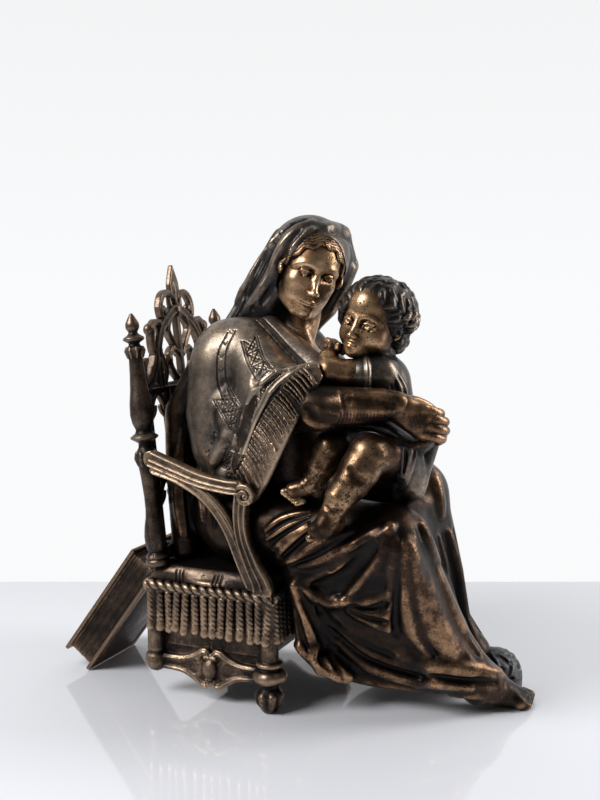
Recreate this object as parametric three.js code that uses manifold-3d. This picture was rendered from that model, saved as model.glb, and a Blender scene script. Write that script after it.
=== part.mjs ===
// A cast bronze group: a veiled mother in an openwork Gothic chair, with her child on her lap,
// a book that leans on the back of the chair, and a cushion under her left foot.
// Millimetres, +Z up, +X the way the chair faces, the origin on the floor under the middle of the group.

import * as THREE from "three";
import { mergeVertices } from "three/addons/utils/BufferGeometryUtils.js";
import Module from "manifold-3d";

const wasm = await Module();
wasm.setup();

// Driving dimensions of the chair. X and Y are counted from the middle of the seat.
const SEAT = { halfDepth: 58, halfWidth: 79, underside: 46, top: 124 };
const TRIM = { ropeZ: 105, ropeR: 3.4, cordTop: 102, cordFoot: 67, pitch: 9.5, out: 6 };
const POST = { footZ: 124, lean: THREE.MathUtils.degToRad(6.2) };
const ARM = { y: 85, thick: 10 };
const PANEL = { thick: 7, halfWidth: 71, shoulderZ: 190, archR: 43, bar: 6 };
const BOOK = { length: 134, width: 85, thick: 34, cover: 4, inset: 4, tilt: THREE.MathUtils.degToRad(36.5) };
const BOOK_EDGE = { x: -149.5, nearY: -58 }; // the long edge that stands on the floor
const CUSHION = { x: 226, y: 63, halfX: 27, halfY: 27, top: 37 };
const CLEAR = 0.4; // between pieces that touch

// Solids

function solidOf(geometry) {
  const plain = geometry.index ? geometry.toNonIndexed() : geometry.clone();
  for (const name of Object.keys(plain.attributes)) if (name !== "position") plain.deleteAttribute(name);
  const merged = mergeVertices(plain, 1e-3);
  const kept = [];
  for (let i = 0; i < merged.index.count; i += 3) {
    const [a, b, c] = [0, 1, 2].map((k) => merged.index.getX(i + k));
    if (a !== b && b !== c && a !== c) kept.push(a, b, c);
  }
  const vertProperties = merged.attributes.position.array;
  return new wasm.Manifold(new wasm.Mesh({ numProp: 3, vertProperties, triVerts: new Uint32Array(kept) }));
}

function geometryOf(solid) {
  const { numProp, numVert, vertProperties, triVerts } = solid.getMesh();
  const positions = new Float32Array(numVert * 3);
  for (let i = 0; i < numVert; i++) {
    positions.set(vertProperties.subarray(i * numProp, i * numProp + 3), i * 3);
  }
  const geometry = new THREE.BufferGeometry();
  geometry.setAttribute("position", new THREE.BufferAttribute(positions, 3));
  geometry.setIndex(new THREE.BufferAttribute(triVerts, 1));
  geometry.computeVertexNormals();
  return geometry;
}

const joined = (solids) => solids.reduce((all, one) => all.add(one));

// A turned shape about Z from [radius, z] pairs, closed on the axis at both ends.
function turned(profile, sides = 12) {
  const [low, high] = [profile[0][1], profile.at(-1)[1]];
  const points = [[0, low], ...profile, [0, high]].map(([r, z]) => new THREE.Vector2(r, z));
  return new THREE.LatheGeometry(points, sides).rotateX(Math.PI / 2);
}

function block(low, high) {
  const size = high.map((h, i) => h - low[i]);
  return new THREE.BoxGeometry(...size).translate(...low.map((l, i) => l + size[i] / 2));
}

// A flat piece cut to an outline in X and Z, and as thick as asked about the plane y.
function cutOut(shape, y, thick) {
  const geometry = new THREE.ExtrudeGeometry(shape, { depth: thick, curveSegments: 4, bevelEnabled: false });
  return geometry.translate(0, 0, -thick / 2).rotateX(Math.PI / 2).translate(0, y, 0);
}

// The outline of a band of changing width along a smooth line through [x, z, width] points.
function band(points, steps = 10) {
  const line = new THREE.CatmullRomCurve3(points.map(([x, z, w]) => new THREE.Vector3(x, z, w)));
  const sides = [[], []];
  for (let i = 0; i <= steps; i++) {
    const at = line.getPoint(i / steps);
    const along = line.getTangent(i / steps).setZ(0).normalize();
    const across = new THREE.Vector2(-along.y, along.x).multiplyScalar(at.z / 2);
    sides[0].push(new THREE.Vector2(at.x + across.x, at.y + across.y));
    sides[1].unshift(new THREE.Vector2(at.x - across.x, at.y - across.y));
  }
  return new THREE.Shape([...sides[0], ...sides[1]]);
}

// Chair

function seatParts(grow) {
  const { halfDepth: d, halfWidth: w, underside, top } = SEAT;
  const pad = new THREE.Shape();
  const [px, py] = [d + 4 + grow, w + 4 + grow];
  pad.moveTo(-px, -py).lineTo(px, -py).lineTo(px, py).lineTo(-px, py);
  const bevel = 6;
  const straight = 6;
  const options = {
    depth: straight,
    bevelEnabled: true,
    bevelSize: bevel,
    bevelThickness: bevel,
    bevelOffset: -bevel,
    bevelSegments: 2,
  };
  const cushion = new THREE.ExtrudeGeometry(pad, options).translate(0, 0, top + grow - straight - bevel);
  const [bx, by] = [d - 2 + grow, w - 1 + grow];
  return [
    block([-bx, -by, underside - grow], [bx, by, TRIM.ropeZ]),
    block([-px, -py, TRIM.cordFoot + 4 - grow], [px, py, TRIM.ropeZ + 4]),
    cushion,
  ];
}

function legs() {
  const { halfDepth: x, halfWidth: y } = SEAT;
  const column = [[8.5, 45], [8.5, 103]];
  const ring = [[9, 24], [15, 29], [15, 36], [10, 42]];
  const foot = [[7, 0], [12.5, 17], [8, 25]];
  const ball = [[4, 22], [9, 25], [11, 32], [10, 39], [7.5, 44]];
  const parts = [];
  for (const side of [-1, 1]) {
    for (const profile of [foot, ring, column]) parts.push(turned(profile, 8).translate(x, side * y, 0));
    for (const profile of [ball, column]) parts.push(turned(profile, 8).translate(-x, side * y, 0));
  }
  return parts;
}

// The rope round the edge of the seat and the fringe of cords under it: one scalloped frame for each.
function scalloped(low, high, reach) {
  const [x, y] = [SEAT.halfDepth + TRIM.out, SEAT.halfWidth + TRIM.out];
  const corners = [[-x, -y], [x, -y], [x, y], [-x, y]];
  const points = [];
  for (let side = 0; side < 4; side++) {
    const [from, to] = [corners[side], corners[(side + 1) % 4]];
    const length = Math.hypot(to[0] - from[0], to[1] - from[1]);
    const along = [(to[0] - from[0]) / length, (to[1] - from[1]) / length];
    const count = side === 3 ? 1 : Math.round(length / TRIM.pitch);
    for (let i = 0; i < count; i++) {
      for (const [at, out] of [[0.1, -1], [0.6, reach]]) {
        const t = ((i + at) * length) / count;
        const x = from[0] + along[0] * t + along[1] * out;
        points.push(new THREE.Vector2(x, from[1] + along[1] * t - along[0] * out));
      }
    }
  }
  const options = { depth: high - low, bevelEnabled: false };
  return new THREE.ExtrudeGeometry(new THREE.Shape(points), options).translate(0, 0, low);
}

function trimParts() {
  const { ropeZ, ropeR, cordFoot, cordTop } = TRIM;
  return [scalloped(cordFoot, cordTop, 2.5), scalloped(ropeZ - ropeR, ropeZ + ropeR, 4)];
}

// A pierced rail under each side: two scrolls that meet over an oval boss, and two that meet under it.
function rail(side) {
  const y = side * SEAT.halfWidth;
  const shape = new THREE.Shape();
  shape.moveTo(-52, 26).lineTo(-52, 40);
  shape.quadraticCurveTo(-28, 40, -12, 50).quadraticCurveTo(-4, 53, 0, 44);
  shape.quadraticCurveTo(4, 53, 12, 50).quadraticCurveTo(28, 40, 52, 40).lineTo(52, 26);
  shape.quadraticCurveTo(28, 24, 14, 15).quadraticCurveTo(4, 10, 0, 19);
  shape.quadraticCurveTo(-4, 10, -14, 15).quadraticCurveTo(-28, 24, -52, 26);
  return [
    cutOut(shape, y, 7),
    new THREE.SphereGeometry(1, 8, 5).scale(8, 6, 10).translate(0, side * (SEAT.halfWidth + 4), 32),
  ];
}

function armParts(side) {
  const y = side * ARM.y;
  const handle = band([[-56, 222, 16], [-30, 214, 15], [-5, 206, 13], [26, 201, 13], [38, 197, 14]], 7);
  const support = band([[36, 202, 15], [33, 178, 13], [36, 158, 13], [46, 132, 15], [55, 114, 20]], 7);
  const sweep = [[-52, 212, 8], [-28, 205, 8], [0, 190, 8], [20, 166, 8], [34, 134, 9], [44, 116, 10]];
  const brace = band(sweep, 9);
  const scroll = new THREE.CylinderGeometry(9, 9, ARM.thick, 10);
  return [
    ...[handle, support, brace].map((shape) => cutOut(shape, y, ARM.thick)),
    scroll.translate(39, y, 196),
  ];
}

function leaning(geometry) {
  return geometry.rotateY(-POST.lean).translate(-SEAT.halfDepth + 3, 0, POST.footZ);
}

function postParts(side) {
  const profile = [
    [11, -2], [11, 5], [7.5, 10], [9.5, 22], [9, 34], [6.5, 44], [6.5, 60], [8.5, 92], [9.5, 102], [6, 110],
    [13, 117], [7, 123], [10.5, 134], [10, 146], [7, 172], [6, 190], [8.5, 197], [5, 200],
    [9.5, 204], [4, 208], [6.5, 214], [5, 220], [1.5, 227],
  ];
  return [leaning(turned(profile, 8).translate(0, side * SEAT.halfWidth, 0))];
}

// The pierced back: a frame of tall lancets under an open arch with scrolls, crockets and a spear leaf.
function panelSolid() {
  const { halfWidth: w, shoulderZ, archR, bar, thick } = PANEL;
  const upright = (shape, depth) => {
    const options = { depth, curveSegments: 2, bevelEnabled: false };
    const flat = new THREE.ExtrudeGeometry(shape, options).translate(0, 0, -depth / 2);
    return solidOf(leaning(flat.rotateX(Math.PI / 2).rotateZ(Math.PI / 2)));
  };
  const board = new THREE.Shape();
  board.moveTo(-w, 0).lineTo(-w, shoulderZ - 24);
  board.quadraticCurveTo(-56, shoulderZ - 20, -archR - 4, shoulderZ + 4).lineTo(archR + 4, shoulderZ + 4);
  board.quadraticCurveTo(56, shoulderZ - 20, w, shoulderZ - 24).lineTo(w, 0);
  const lancet = (middle, low, high, half) => {
    const hole = new THREE.Shape();
    const spring = high - half * 1.6;
    hole.moveTo(middle - half, low).lineTo(middle + half, low).lineTo(middle + half, spring);
    hole.quadraticCurveTo(middle + half, high - half * 0.5, middle, high);
    return hole.quadraticCurveTo(middle - half, high - half * 0.5, middle - half, spring);
  };
  const side = archR - bar;
  const opening = new THREE.Shape().moveTo(-side, shoulderZ - 28).lineTo(side, shoulderZ - 28);
  opening.lineTo(side, shoulderZ + 10).lineTo(-side, shoulderZ + 10);
  const holes = [-51, -17, 17, 51].flatMap((y) => [lancet(y, 10, 74, 12), lancet(y, 84, 152, 12)]);
  const pierced = (left, hole) => left.subtract(upright(hole, thick * 2));
  const frame = [...holes, opening].reduce(pierced, upright(board, thick));
  const flank = [[1, -6], [0.98, 10], [0.72, 27], [0.36, 36]];
  const arch = [
    ...flank.map(([share, z]) => [-archR * share, z]),
    [0, 41],
    ...flank.toReversed().map(([share, z]) => [archR * share, z]),
  ];
  // Scrolls of one half, from the arch's springing line: across, up and width of each station
  const scrolls = [
    [[4, 8, 5], [15, 0, 6], [22, -12, 6], [14, -30, 6]],
    [[2, 34, 5], [18, 18, 5], [10, 2, 5]],
    [[5, 52, 5], [20, 52, 6], [32, 42, 6], [36, 26, 5]],
    [[36, 28, 5], [46, 24, 5], [50, 14, 5], [46, -2, 5]],
  ];
  const knobs = [[22, 47, 6], [51, 17, 6.5], [23, -8, 6]];
  const parts = [
    upright(band(arch.map(([y, z]) => [y, shoulderZ + z, bar]), 8), thick),
    upright(band([[0, shoulderZ - 34, 8], [0, shoulderZ - 10, 5], [0, shoulderZ + 40, 6]], 3), thick),
  ];
  for (const half of [-1, 1]) {
    for (const scroll of scrolls) {
      parts.push(upright(band(scroll.map(([y, z, wide]) => [half * y, shoulderZ + z, wide]), 4), thick));
    }
    for (const [y, z, r] of knobs) {
      const knob = turned([[0.7 * r, -0.75 * r], [r, 0], [0.7 * r, 0.75 * r]], 6).scale(0.8, 1, 1);
      parts.push(solidOf(leaning(knob.translate(0, half * y, shoulderZ + z))));
    }
  }
  const leaf = turned([[5, -14], [8, -4], [5, 4], [9, 10], [8.5, 18], [5, 30], [1, 38]], 8);
  parts.push(solidOf(leaning(leaf.translate(0, 0, shoulderZ + 46))));
  return joined([frame, ...parts]);
}

function chairSolid() {
  const parts = [...seatParts(0), ...legs(), ...trimParts()];
  for (const side of [-1, 1]) parts.push(...rail(side), ...armParts(side), ...postParts(side));
  return joined([...parts.map(solidOf), panelSolid()]);
}

// What the figure is cut back by: seat, back, posts, arms and cushion as plain forms, a little larger.
function chairClearance() {
  const { halfDepth, halfWidth } = SEAT;
  const board = block([-PANEL.thick / 2 - 40, -90, -20], [PANEL.thick / 2 + 2 + CLEAR, 90, 240]);
  const trim = block([-90, -halfWidth - 12, 60], [halfDepth + 12, halfWidth + 12, TRIM.ropeZ + 6]);
  const parts = [...seatParts(CLEAR), leaning(board), trim];
  for (const side of [-1, 1]) {
    const post = new THREE.CylinderGeometry(13.5, 13.5, 220, 12).rotateX(Math.PI / 2).translate(0, 0, 108);
    parts.push(leaning(post.translate(0, side * halfWidth, 0)));
    const [inner, outer] = [ARM.y - ARM.thick / 2 - CLEAR, 120].map((y) => side * y);
    const across = [Math.min(inner, outer), Math.max(inner, outer)];
    parts.push(block([-90, across[0], 80], [49, across[1], 232]));
    parts.push(block([48, across[0], 80], [69, across[1], 150]));
  }
  return joined([...parts.map(solidOf), cushionSolid(CLEAR)]);
}

// Field: the figures are modelled as one distance field on a grid. Each stroke adds or takes away a simple
// form and blends it into what is there.

const vec = (p) => new THREE.Vector3(...p);
const mix = (a, b, t) => a + (b - a) * t;

function blend(a, b, k) {
  if (k <= 0) return Math.min(a, b);
  const h = Math.max(k - Math.abs(a - b), 0) / k;
  return Math.min(a, b) - (h * h * k) / 4;
}

// A form is { low, high, at(x, y, z) }: the box round it and the distance to its skin, minus inside.

function limb(a, b, ra, rb) {
  const [ax, ay, az] = a;
  const [ux, uy, uz] = b.map((value, i) => value - a[i]);
  const length2 = ux * ux + uy * uy + uz * uz + 1e-9;
  const at = (x, y, z) => {
    const along = ((x - ax) * ux + (y - ay) * uy + (z - az) * uz) / length2;
    const t = Math.min(1, Math.max(0, along));
    return Math.hypot(x - ax - t * ux, y - ay - t * uy, z - az - t * uz) - mix(ra, rb, t);
  };
  const low = a.map((value, i) => Math.min(value - ra, b[i] - rb));
  const high = a.map((value, i) => Math.max(value + ra, b[i] + rb));
  return { low, high, at };
}

// Limbs one after another through [x, y, z, radius] stations.
function path(stations) {
  const between = (from, to) => limb(from.slice(0, 3), to.slice(0, 3), from[3], to[3]);
  return group(stations.slice(1).map((to, i) => between(stations[i], to)));
}

function group(forms) {
  const low = [0, 1, 2].map((i) => Math.min(...forms.map((form) => form.low[i])));
  const high = [0, 1, 2].map((i) => Math.max(...forms.map((form) => form.high[i])));
  return { low, high, at: (x, y, z) => forms.reduce((d, form) => Math.min(d, form.at(x, y, z)), Infinity) };
}

// An ellipsoid with its own axes: [forward, left, up] unit vectors, or the world's.
function blob(centre, radii, axes = [[1, 0, 0], [0, 1, 0], [0, 0, 1]]) {
  const reach = Math.max(...radii);
  const at = (x, y, z) => {
    const d = [x - centre[0], y - centre[1], z - centre[2]];
    let k0 = 0;
    let k1 = 0;
    for (let i = 0; i < 3; i++) {
      const s = (d[0] * axes[i][0] + d[1] * axes[i][1] + d[2] * axes[i][2]) / radii[i];
      k0 += s * s;
      k1 += (s / radii[i]) ** 2;
    }
    return k1 > 0 ? (Math.sqrt(k0) * (Math.sqrt(k0) - 1)) / Math.sqrt(k1) : -Math.min(...radii);
  };
  return { low: centre.map((c) => c - reach), high: centre.map((c) => c + reach), at };
}

// A triangle of cloth with rounded edges.
function patch(a, b, c, r) {
  const triangle = new THREE.Triangle(vec(a), vec(b), vec(c));
  const point = new THREE.Vector3();
  const nearest = new THREE.Vector3();
  const at = (x, y, z) => triangle.closestPointToPoint(point.set(x, y, z), nearest).distanceTo(point) - r;
  const low = a.map((value, i) => Math.min(value, b[i], c[i]) - r);
  const high = a.map((value, i) => Math.max(value, b[i], c[i]) + r);
  return { low, high, at };
}

// A strip of cloth between an upper and a lower edge, point by point.
function strip(upper, lower, r) {
  const pieces = [];
  for (let i = 0; i < upper.length - 1; i++) {
    pieces.push(patch(upper[i], lower[i], upper[i + 1], r), patch(lower[i], lower[i + 1], upper[i + 1], r));
  }
  return group(pieces);
}

// The space behind planes, each through three points and facing away from a point inside.
function bounded(inside, low, high, k, triples) {
  const planes = triples.map((triple) => {
    const plane = new THREE.Plane().setFromCoplanarPoints(...triple.map(vec));
    return plane.distanceToPoint(vec(inside)) > 0 ? plane.negate() : plane;
  });
  const at = (x, y, z) => {
    let d = -Infinity;
    for (const { normal, constant } of planes) {
      d = -blend(-d, -(normal.x * x + normal.y * y + normal.z * z + constant), k);
    }
    return d;
  };
  return { low, high, at };
}

const FAR = 30;

class Field {
  constructor(low, high, step) {
    this.low = low;
    this.step = step;
    this.n = high.map((h, i) => Math.ceil((h - low[i]) / step) + 1);
    this.value = new Float32Array(this.n[0] * this.n[1] * this.n[2]).fill(FAR);
  }

  index(i, j, k) {
    return (i * this.n[1] + j) * this.n[2] + k;
  }

  change(form, k, rule) {
    const margin = k + 2.5 * this.step;
    const from = form.low.map((l, i) => Math.max(0, Math.ceil((l - margin - this.low[i]) / this.step)));
    const last = form.high.map((h, i) => Math.floor((h + margin - this.low[i]) / this.step));
    const to = last.map((at, i) => Math.min(this.n[i] - 1, at));
    for (let i = from[0]; i <= to[0]; i++) {
      for (let j = from[1]; j <= to[1]; j++) {
        for (let m = from[2]; m <= to[2]; m++) {
          const at = this.index(i, j, m);
          const place = [i, j, m].map((c, axis) => this.low[axis] + c * this.step);
          this.value[at] = rule(this.value[at], form.at(...place));
        }
      }
    }
    return this;
  }

  add(form, k = 0) {
    return this.change(form, k, (old, d) => blend(old, d, k));
  }

  cut(form, k = 0) {
    return this.change(form, k, (old, d) => -blend(-old, d, k));
  }

  at(x, y, z) {
    const p = [x, y, z].map((c, i) => (c - this.low[i]) / this.step);
    const b = p.map(Math.floor);
    if (b.some((c, i) => c < 0 || c >= this.n[i] - 1)) return FAR;
    const f = p.map((c, i) => c - b[i]);
    let sum = 0;
    for (let c = 0; c < 8; c++) {
      const o = [c & 1, (c >> 1) & 1, (c >> 2) & 1];
      const weight = o.reduce((w, bit, i) => w * (bit ? f[i] : 1 - f[i]), 1);
      sum += weight * this.value[this.index(b[0] + o[0], b[1] + o[1], b[2] + o[2])];
    }
    return sum;
  }

  slope(p) {
    const h = this.step;
    const along = (i) => {
      const more = p.map((c, k) => c + (k === i ? h : 0));
      const less = p.map((c, k) => c - (k === i ? h : 0));
      return this.at(...more) - this.at(...less);
    };
    return new THREE.Vector3(along(0), along(1), along(2)).normalize();
  }
}

// The photographer's place, so that a fold can be put on the cloth where it is seen: millimetres, and pixels
// of the 600 x 800 picture.
const VIEW = { eye: [463, -934, 388], aim: [54, -2.6, 272], focal: 1102, middle: [300, 400] };

function seenAt(field, u, v) {
  const eye = vec(VIEW.eye);
  const back = eye.clone().sub(vec(VIEW.aim)).normalize();
  const right = new THREE.Vector3(-back.y, back.x, 0).normalize();
  const up = back.clone().cross(right);
  const ray = right.multiplyScalar((u - VIEW.middle[0]) / VIEW.focal).sub(back);
  ray.addScaledVector(up, (VIEW.middle[1] - v) / VIEW.focal).normalize();
  for (let t = 700; t < 1300; t += 1) {
    const p = eye.clone().addScaledVector(ray, t).toArray();
    if (field.at(...p) < 0) return p;
  }
  return null;
}

// A fold along picture points: a rounded ridge on the cloth, or a groove when depth is minus.
function fold(field, picturePoints, width, depth) {
  const line = new THREE.CatmullRomCurve3(picturePoints.map(([u, v]) => new THREE.Vector3(u, v, 0)));
  const count = Math.max(6, Math.round(line.getLength() / 7));
  const stations = [];
  for (let i = 0; i <= count; i++) {
    const { x, y } = line.getPoint(i / count);
    const p = seenAt(field, x, y);
    const last = stations.at(-1);
    if (!p || (last && vec(p).distanceTo(vec(last)) > 40)) continue;
    const swell = Math.sqrt(Math.min(1, (4 * Math.min(i + 0.6, count - i + 0.6)) / count));
    const lift = field.slope(p).multiplyScalar(depth * swell - Math.sign(depth) * width * swell);
    stations.push([...vec(p).add(lift).toArray(), width * swell]);
  }
  if (stations.length < 2) return;
  if (depth > 0) field.add(path(stations), width * 1.3);
  else field.cut(path(stations), width * 1.1);
}

// Figures. A head has a place (the middle of the skull), a height from chin to crown, and its axes.

function headAxes(forward, lean) {
  const f = vec(forward).normalize();
  const u = vec(lean).addScaledVector(f, -vec(lean).dot(f)).normalize();
  return [f.toArray(), u.clone().cross(f).toArray(), u.toArray()];
}

const headOf = (at, size, forward, lean) => ({ at, size, axes: headAxes(forward, lean) });
const MOTHER_HEAD = headOf([67, -14, 393], 84, [0.62, -0.76, -0.2], [0.25, 0.1, 0.96]);
const CHILD_HEAD = headOf([138.5, -32, 350], 73.5, [-0.2, -0.97, 0.12], [0.27, 0.23, 0.93]);

// A point of a head: forward, left and up, each as a share of its height.
function onHead({ at, size, axes }, forward, left, up) {
  return at.map((c, i) => c + size * (forward * axes[0][i] + left * axes[1][i] + up * axes[2][i]));
}

function headBlob(head, [forward, left, up], radii) {
  return blob(onHead(head, forward, left, up), radii.map((r) => r * head.size), head.axes);
}

// A calm, regular face: eyes at half height, nose down to a quarter, mouth a third of the way to the chin.
// low is how far a young face sits below those places, full how round its cheeks are.
function addFace(field, head, low, full) {
  const limbAt = (a, b, ra, rb) => {
    const [from, to] = [a, b].map((place) => onHead(head, ...place));
    return limb(from, to, ra * head.size, rb * head.size);
  };
  field.add(headBlob(head, [-0.02, 0, 0.12], [0.43, 0.345, 0.37]), 2);
  field.add(headBlob(head, [0.12, 0, -0.14], [0.27, 0.25 + 0.05 * full, 0.34 - 0.04 * full]), 6);
  field.add(headBlob(head, [0.3, 0, -0.41 - low * 0.3], [0.08, 0.09, 0.08]), 6);
  for (const side of [-1, 1]) {
    field.add(headBlob(head, [0.24, side * 0.17, -0.17 - low], [0.1, 0.1, 0.11]), 6);
    field.cut(headBlob(head, [0.44, side * 0.135, -0.005 - low], [0.08, 0.09, 0.055]), 4);
  }
  field.add(limbAt([0.36, 0, 0.04 - low], [0.46 - 0.04 * full, 0, -0.19 - low], 0.03, 0.05), 3);
  field.add(headBlob(head, [0.37, 0, -0.31 - low], [0.05, 0.1, 0.045]), 3);
}

// The mother without her head: she sits well back, leans a little forward and turns toward the camera's side.
function addMother(f) {
  // Hips, trunk and shoulders under the mantle
  f.add(blob([2, 0, 170], [54, 70, 50]));
  f.add(limb([-4, 0, 185], [4, -4, 285], 50, 46), 14);
  f.add(limb([2, -42, 318], [28, 46, 312], 29, 27), 14);
  f.add(limb([34, -14, 300], [40, -12, 325], 32, 22), 12);
  f.add(limb([46, -24, 262], [62, -10, 190], 34, 36), 14);
  f.add(limb([56, -10, 325], [69, -12, 362], 18, 16), 8);
  // Mantle down her back, in tall folds that reach the seat
  for (let i = 0; i < 8; i++) {
    const y = -46 + 13.5 * i;
    const shoulder = [[-8, 0.8 * y, 320, 16], [-28, 0.9 * y, 300, 14], [-50, y, 262, 13]];
    f.add(path([...shoulder, [-49, 1.05 * y, 200, 13], [-43, 1.1 * y, 132, 13]]), 7);
  }
  // Thighs and shins
  f.add(limb([14, -38, 160], [163, -56, 158], 38, 34), 12);
  f.add(limb([14, 40, 160], [150, 44, 182], 38, 32), 12);
  f.add(path([[163, -56, 158, 32], [201, -19, 67, 23], [228, -2, 32, 15]]), 8);
  f.add(path([[150, 44, 184, 31], [171, 50, 105, 27], [180, 50, 62, 25], [206, 54, 34, 18]]), 8);
}

// The skirt: cloth from both thighs to a hem that hangs free of the chair and sweeps to the front foot.
function addSkirt(f) {
  const bulk = bounded([140, 0, 90], [60, -95, 10], [245, 90, 190], 14, [
    [[60, 0, 168], [160, 0, 168], [160, 40, 176]],
    [[178, -50, 150], [214, -16, 50], [188, 60, 60]],
    [[60, -84, 150], [180, -84, 150], [100, -42, 32]],
    [[163, -86, 150], [168, -60, 90], [230, -16, 30]],
    [[60, 78, 150], [180, 78, 150], [150, 84, 20]],
    [[70, -50, 46], [70, 50, 46], [108, 0, 17]],
    [[100, -30, 17], [100, 40, 17], [240, 0, 12]],
    [[71, 0, 0], [71, 10, 0], [71, 0, 100]],
  ]);
  f.add(bulk, 8);
  f.add(patch([168, -45, 160], [158, 40, 182], [182, 46, 66], 14), 10);
  f.add(patch([168, -45, 160], [204, -18, 66], [182, 46, 66], 14), 10);
  f.add(patch([204, -18, 66], [182, 46, 66], [228, 0, 30], 12), 10);
  // Cloth bunched beside the chair, and the hem drawn over the near foot
  const bunched = [
    [83, -64, 128, 12], [86, -66, 92, 10], [88, -64, 60, 10],
    [97, -58, 46, 9], [120, -50, 34, 8],
  ];
  f.add(path(bunched), 12);
  f.add(patch([200, -30, 38], [224, -6, 36], [238, 6, 21], 11), 12);
}

function addShawl(f) {
  f.add(path([[-2, -40, 300, 35], [-2, -40, 262, 38], [2, -40, 235, 37], [12, -56, 208, 20]]), 10);
  f.add(limb([22, -44, 320], [62, -70, 290], 29, 28), 10);
  f.add(limb([30, -58, 262], [62, -72, 286], 30, 27), 12);
  f.add(limb([28, -56, 262], [28, -58, 208], 30, 13), 10);
  f.add(limb([40, -36, 342], [98, -62, 306], 9, 12), 10);
  const edge = [
    [102, -79, 311], [84, -92, 307], [62, -99, 298],
    [46, -96, 274], [32, -84, 240], [17, -73, 206],
  ];
  const fringe = [
    [109, -86, 303], [103, -98, 285], [91, -103, 263],
    [77, -100, 236], [60, -89, 210], [45, -78, 193],
  ];
  f.add(strip(edge, fringe, 3.2), 3);
  f.add(path(edge.map((p) => [...p, 4])), 4);
}

function addVeil(f) {
  const hood = headBlob(MOTHER_HEAD, [-0.06, 0, 0.13], [0.49, 0.42, 0.43]);
  f.add(hood, 4);
  f.add(path([[62, -4, 404, 34], [38, -6, 375, 32], [20, -8, 345, 29], [-6, -8, 308, 30]]), 8);
  f.cut(headBlob(MOTHER_HEAD, [0.5, 0, -0.14], [0.4, 0.31, 0.46]), 3);
  f.cut(headBlob(MOTHER_HEAD, [0.34, -0.1, -0.56], [0.3, 0.3, 0.3]), 6);
  const farEdge = [
    [84, 12, 416, 17], [92, 15, 396, 12], [86, 17, 376, 9],
    [74, 18, 356, 8], [61, 18, 344, 8], [48, 18, 330, 9], [52, 20, 308, 14],
  ];
  f.add(path(farEdge), 5);
}

function addMotherArm(f) {
  f.add(limb([82, -74, 268], [104, -83, 276], 16, 19), 8);
  f.add(limb([104, -83, 276], [178, -72, 281], 19, 11), 6);
  f.add(path([[178, -72, 281, 10], [188, -64, 279, 11], [195, -56, 271, 8], [196, -50, 261, 6]]), 4);
  // The other arm and its hand, behind the child
  f.add(path([[42, 58, 306, 26], [92, 62, 262, 22], [140, 30, 244, 17], [176, -12, 250, 11]]), 12);
  f.add(path([[176, -12, 250, 10], [190, -38, 256, 9], [186, -54, 250, 7]]), 4);
}

// The near foot: instep, ball and five toes, the little toe nearest the camera's side
function addFoot(f) {
  const sole = (ahead, aside, up) => [226 + 0.8 * ahead + 0.6 * aside, 0.6 * ahead - 0.8 * aside, up];
  f.add(limb(sole(2, 0, 19), sole(27, 0, 13), 15, 11), 6);
  f.add(limb(sole(27, 0, 13), sole(43, 0, 8), 11, 8), 6);
  f.add(limb(sole(39, -8, 8.5), sole(37, 9, 7), 8, 6.5), 5);
  for (let toe = 0; toe < 5; toe++) {
    const aside = -10.5 + 5.4 * toe;
    f.add(limb(sole(41, aside, 8), sole(56.5 - 3 * toe, aside, 5), 5.2 - 0.3 * toe, 4.6 - 0.3 * toe), 1.5);
  }
}

function addChild(f) {
  f.add(limb([150, -22, 225], [146, -34, 292], 28, 25), 8);
  f.add(limb([134, -44, 303], [147, -27, 301], 16, 15), 10);
  f.add(limb([138, -32, 318], [140, -30, 300], 15, 18), 6);
  f.add(path([[144, -48, 303, 14.5], [124, -60, 303, 13.4], [109, -65, 305, 12.2]]), 5);
  const forearm = [
    [109, -65, 306, 11.8], [105, -58, 314, 10.2],
    [103.5, -50, 321, 7.8], [104, -47, 326, 8.5],
  ];
  f.add(path(forearm), 3);
  f.add(path([[146, -14, 297, 13], [118, 4, 294, 11], [94, 6, 298, 8]]), 5);
  // Near leg, bent over the mother's lap, and far leg beside it
  f.add(path([[158, -42, 232, 24], [156, -72, 240, 21], [150, -82, 236, 18], [132, -94, 204, 14]]), 6);
  f.add(path([[132, -94, 204, 13], [124, -100, 186, 9.5], [118, -102, 178, 9]]), 4);
  f.add(path([[122, -102, 180, 9], [112, -103, 176, 8], [106, -102, 170, 6]]), 3);
  f.add(path([[136, -38, 238, 20], [120, -60, 246, 17], [104, -70, 222, 12], [94, -74, 212, 9]]), 5);
  f.add(path([[94, -74, 210, 9], [84, -76, 204, 8], [74, -77, 204, 6]]), 3);
  // Tunic over the thigh, and the cloth that hangs from it
  f.add(path([[134, -66, 252, 11], [158, -66, 254, 13], [174, -54, 240, 13], [178, -46, 210, 10]]), 6);
  f.add(strip([[172, -22, 246], [188, -32, 244]], [[166, -36, 196], [178, -40, 204]], 9), 8);
}

function addHairAndHeads(f) {
  addFace(f, MOTHER_HEAD, 0, 0);
  for (const side of [-1, 1]) {
    const wave = [[0.34, 0.02, 0.37], [0.3, 0.2, 0.28], [0.2, 0.31, 0.12], [0.12, 0.33, -0.02]];
    const place = ([ahead, left, up]) => onHead(MOTHER_HEAD, ahead, side * left, up);
    f.add(path(wave.map((at) => [...place(at), 0.06 * MOTHER_HEAD.size])), 3);
  }
  f.add(headBlob(CHILD_HEAD, [-0.1, 0, 0.1], [0.43, 0.45, 0.42]), 2);
  addFace(f, CHILD_HEAD, 0.07, 1);
  f.add(headBlob(CHILD_HEAD, [-0.2, 0, -0.2], [0.26, 0.38, 0.16]), 6);
}

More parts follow.
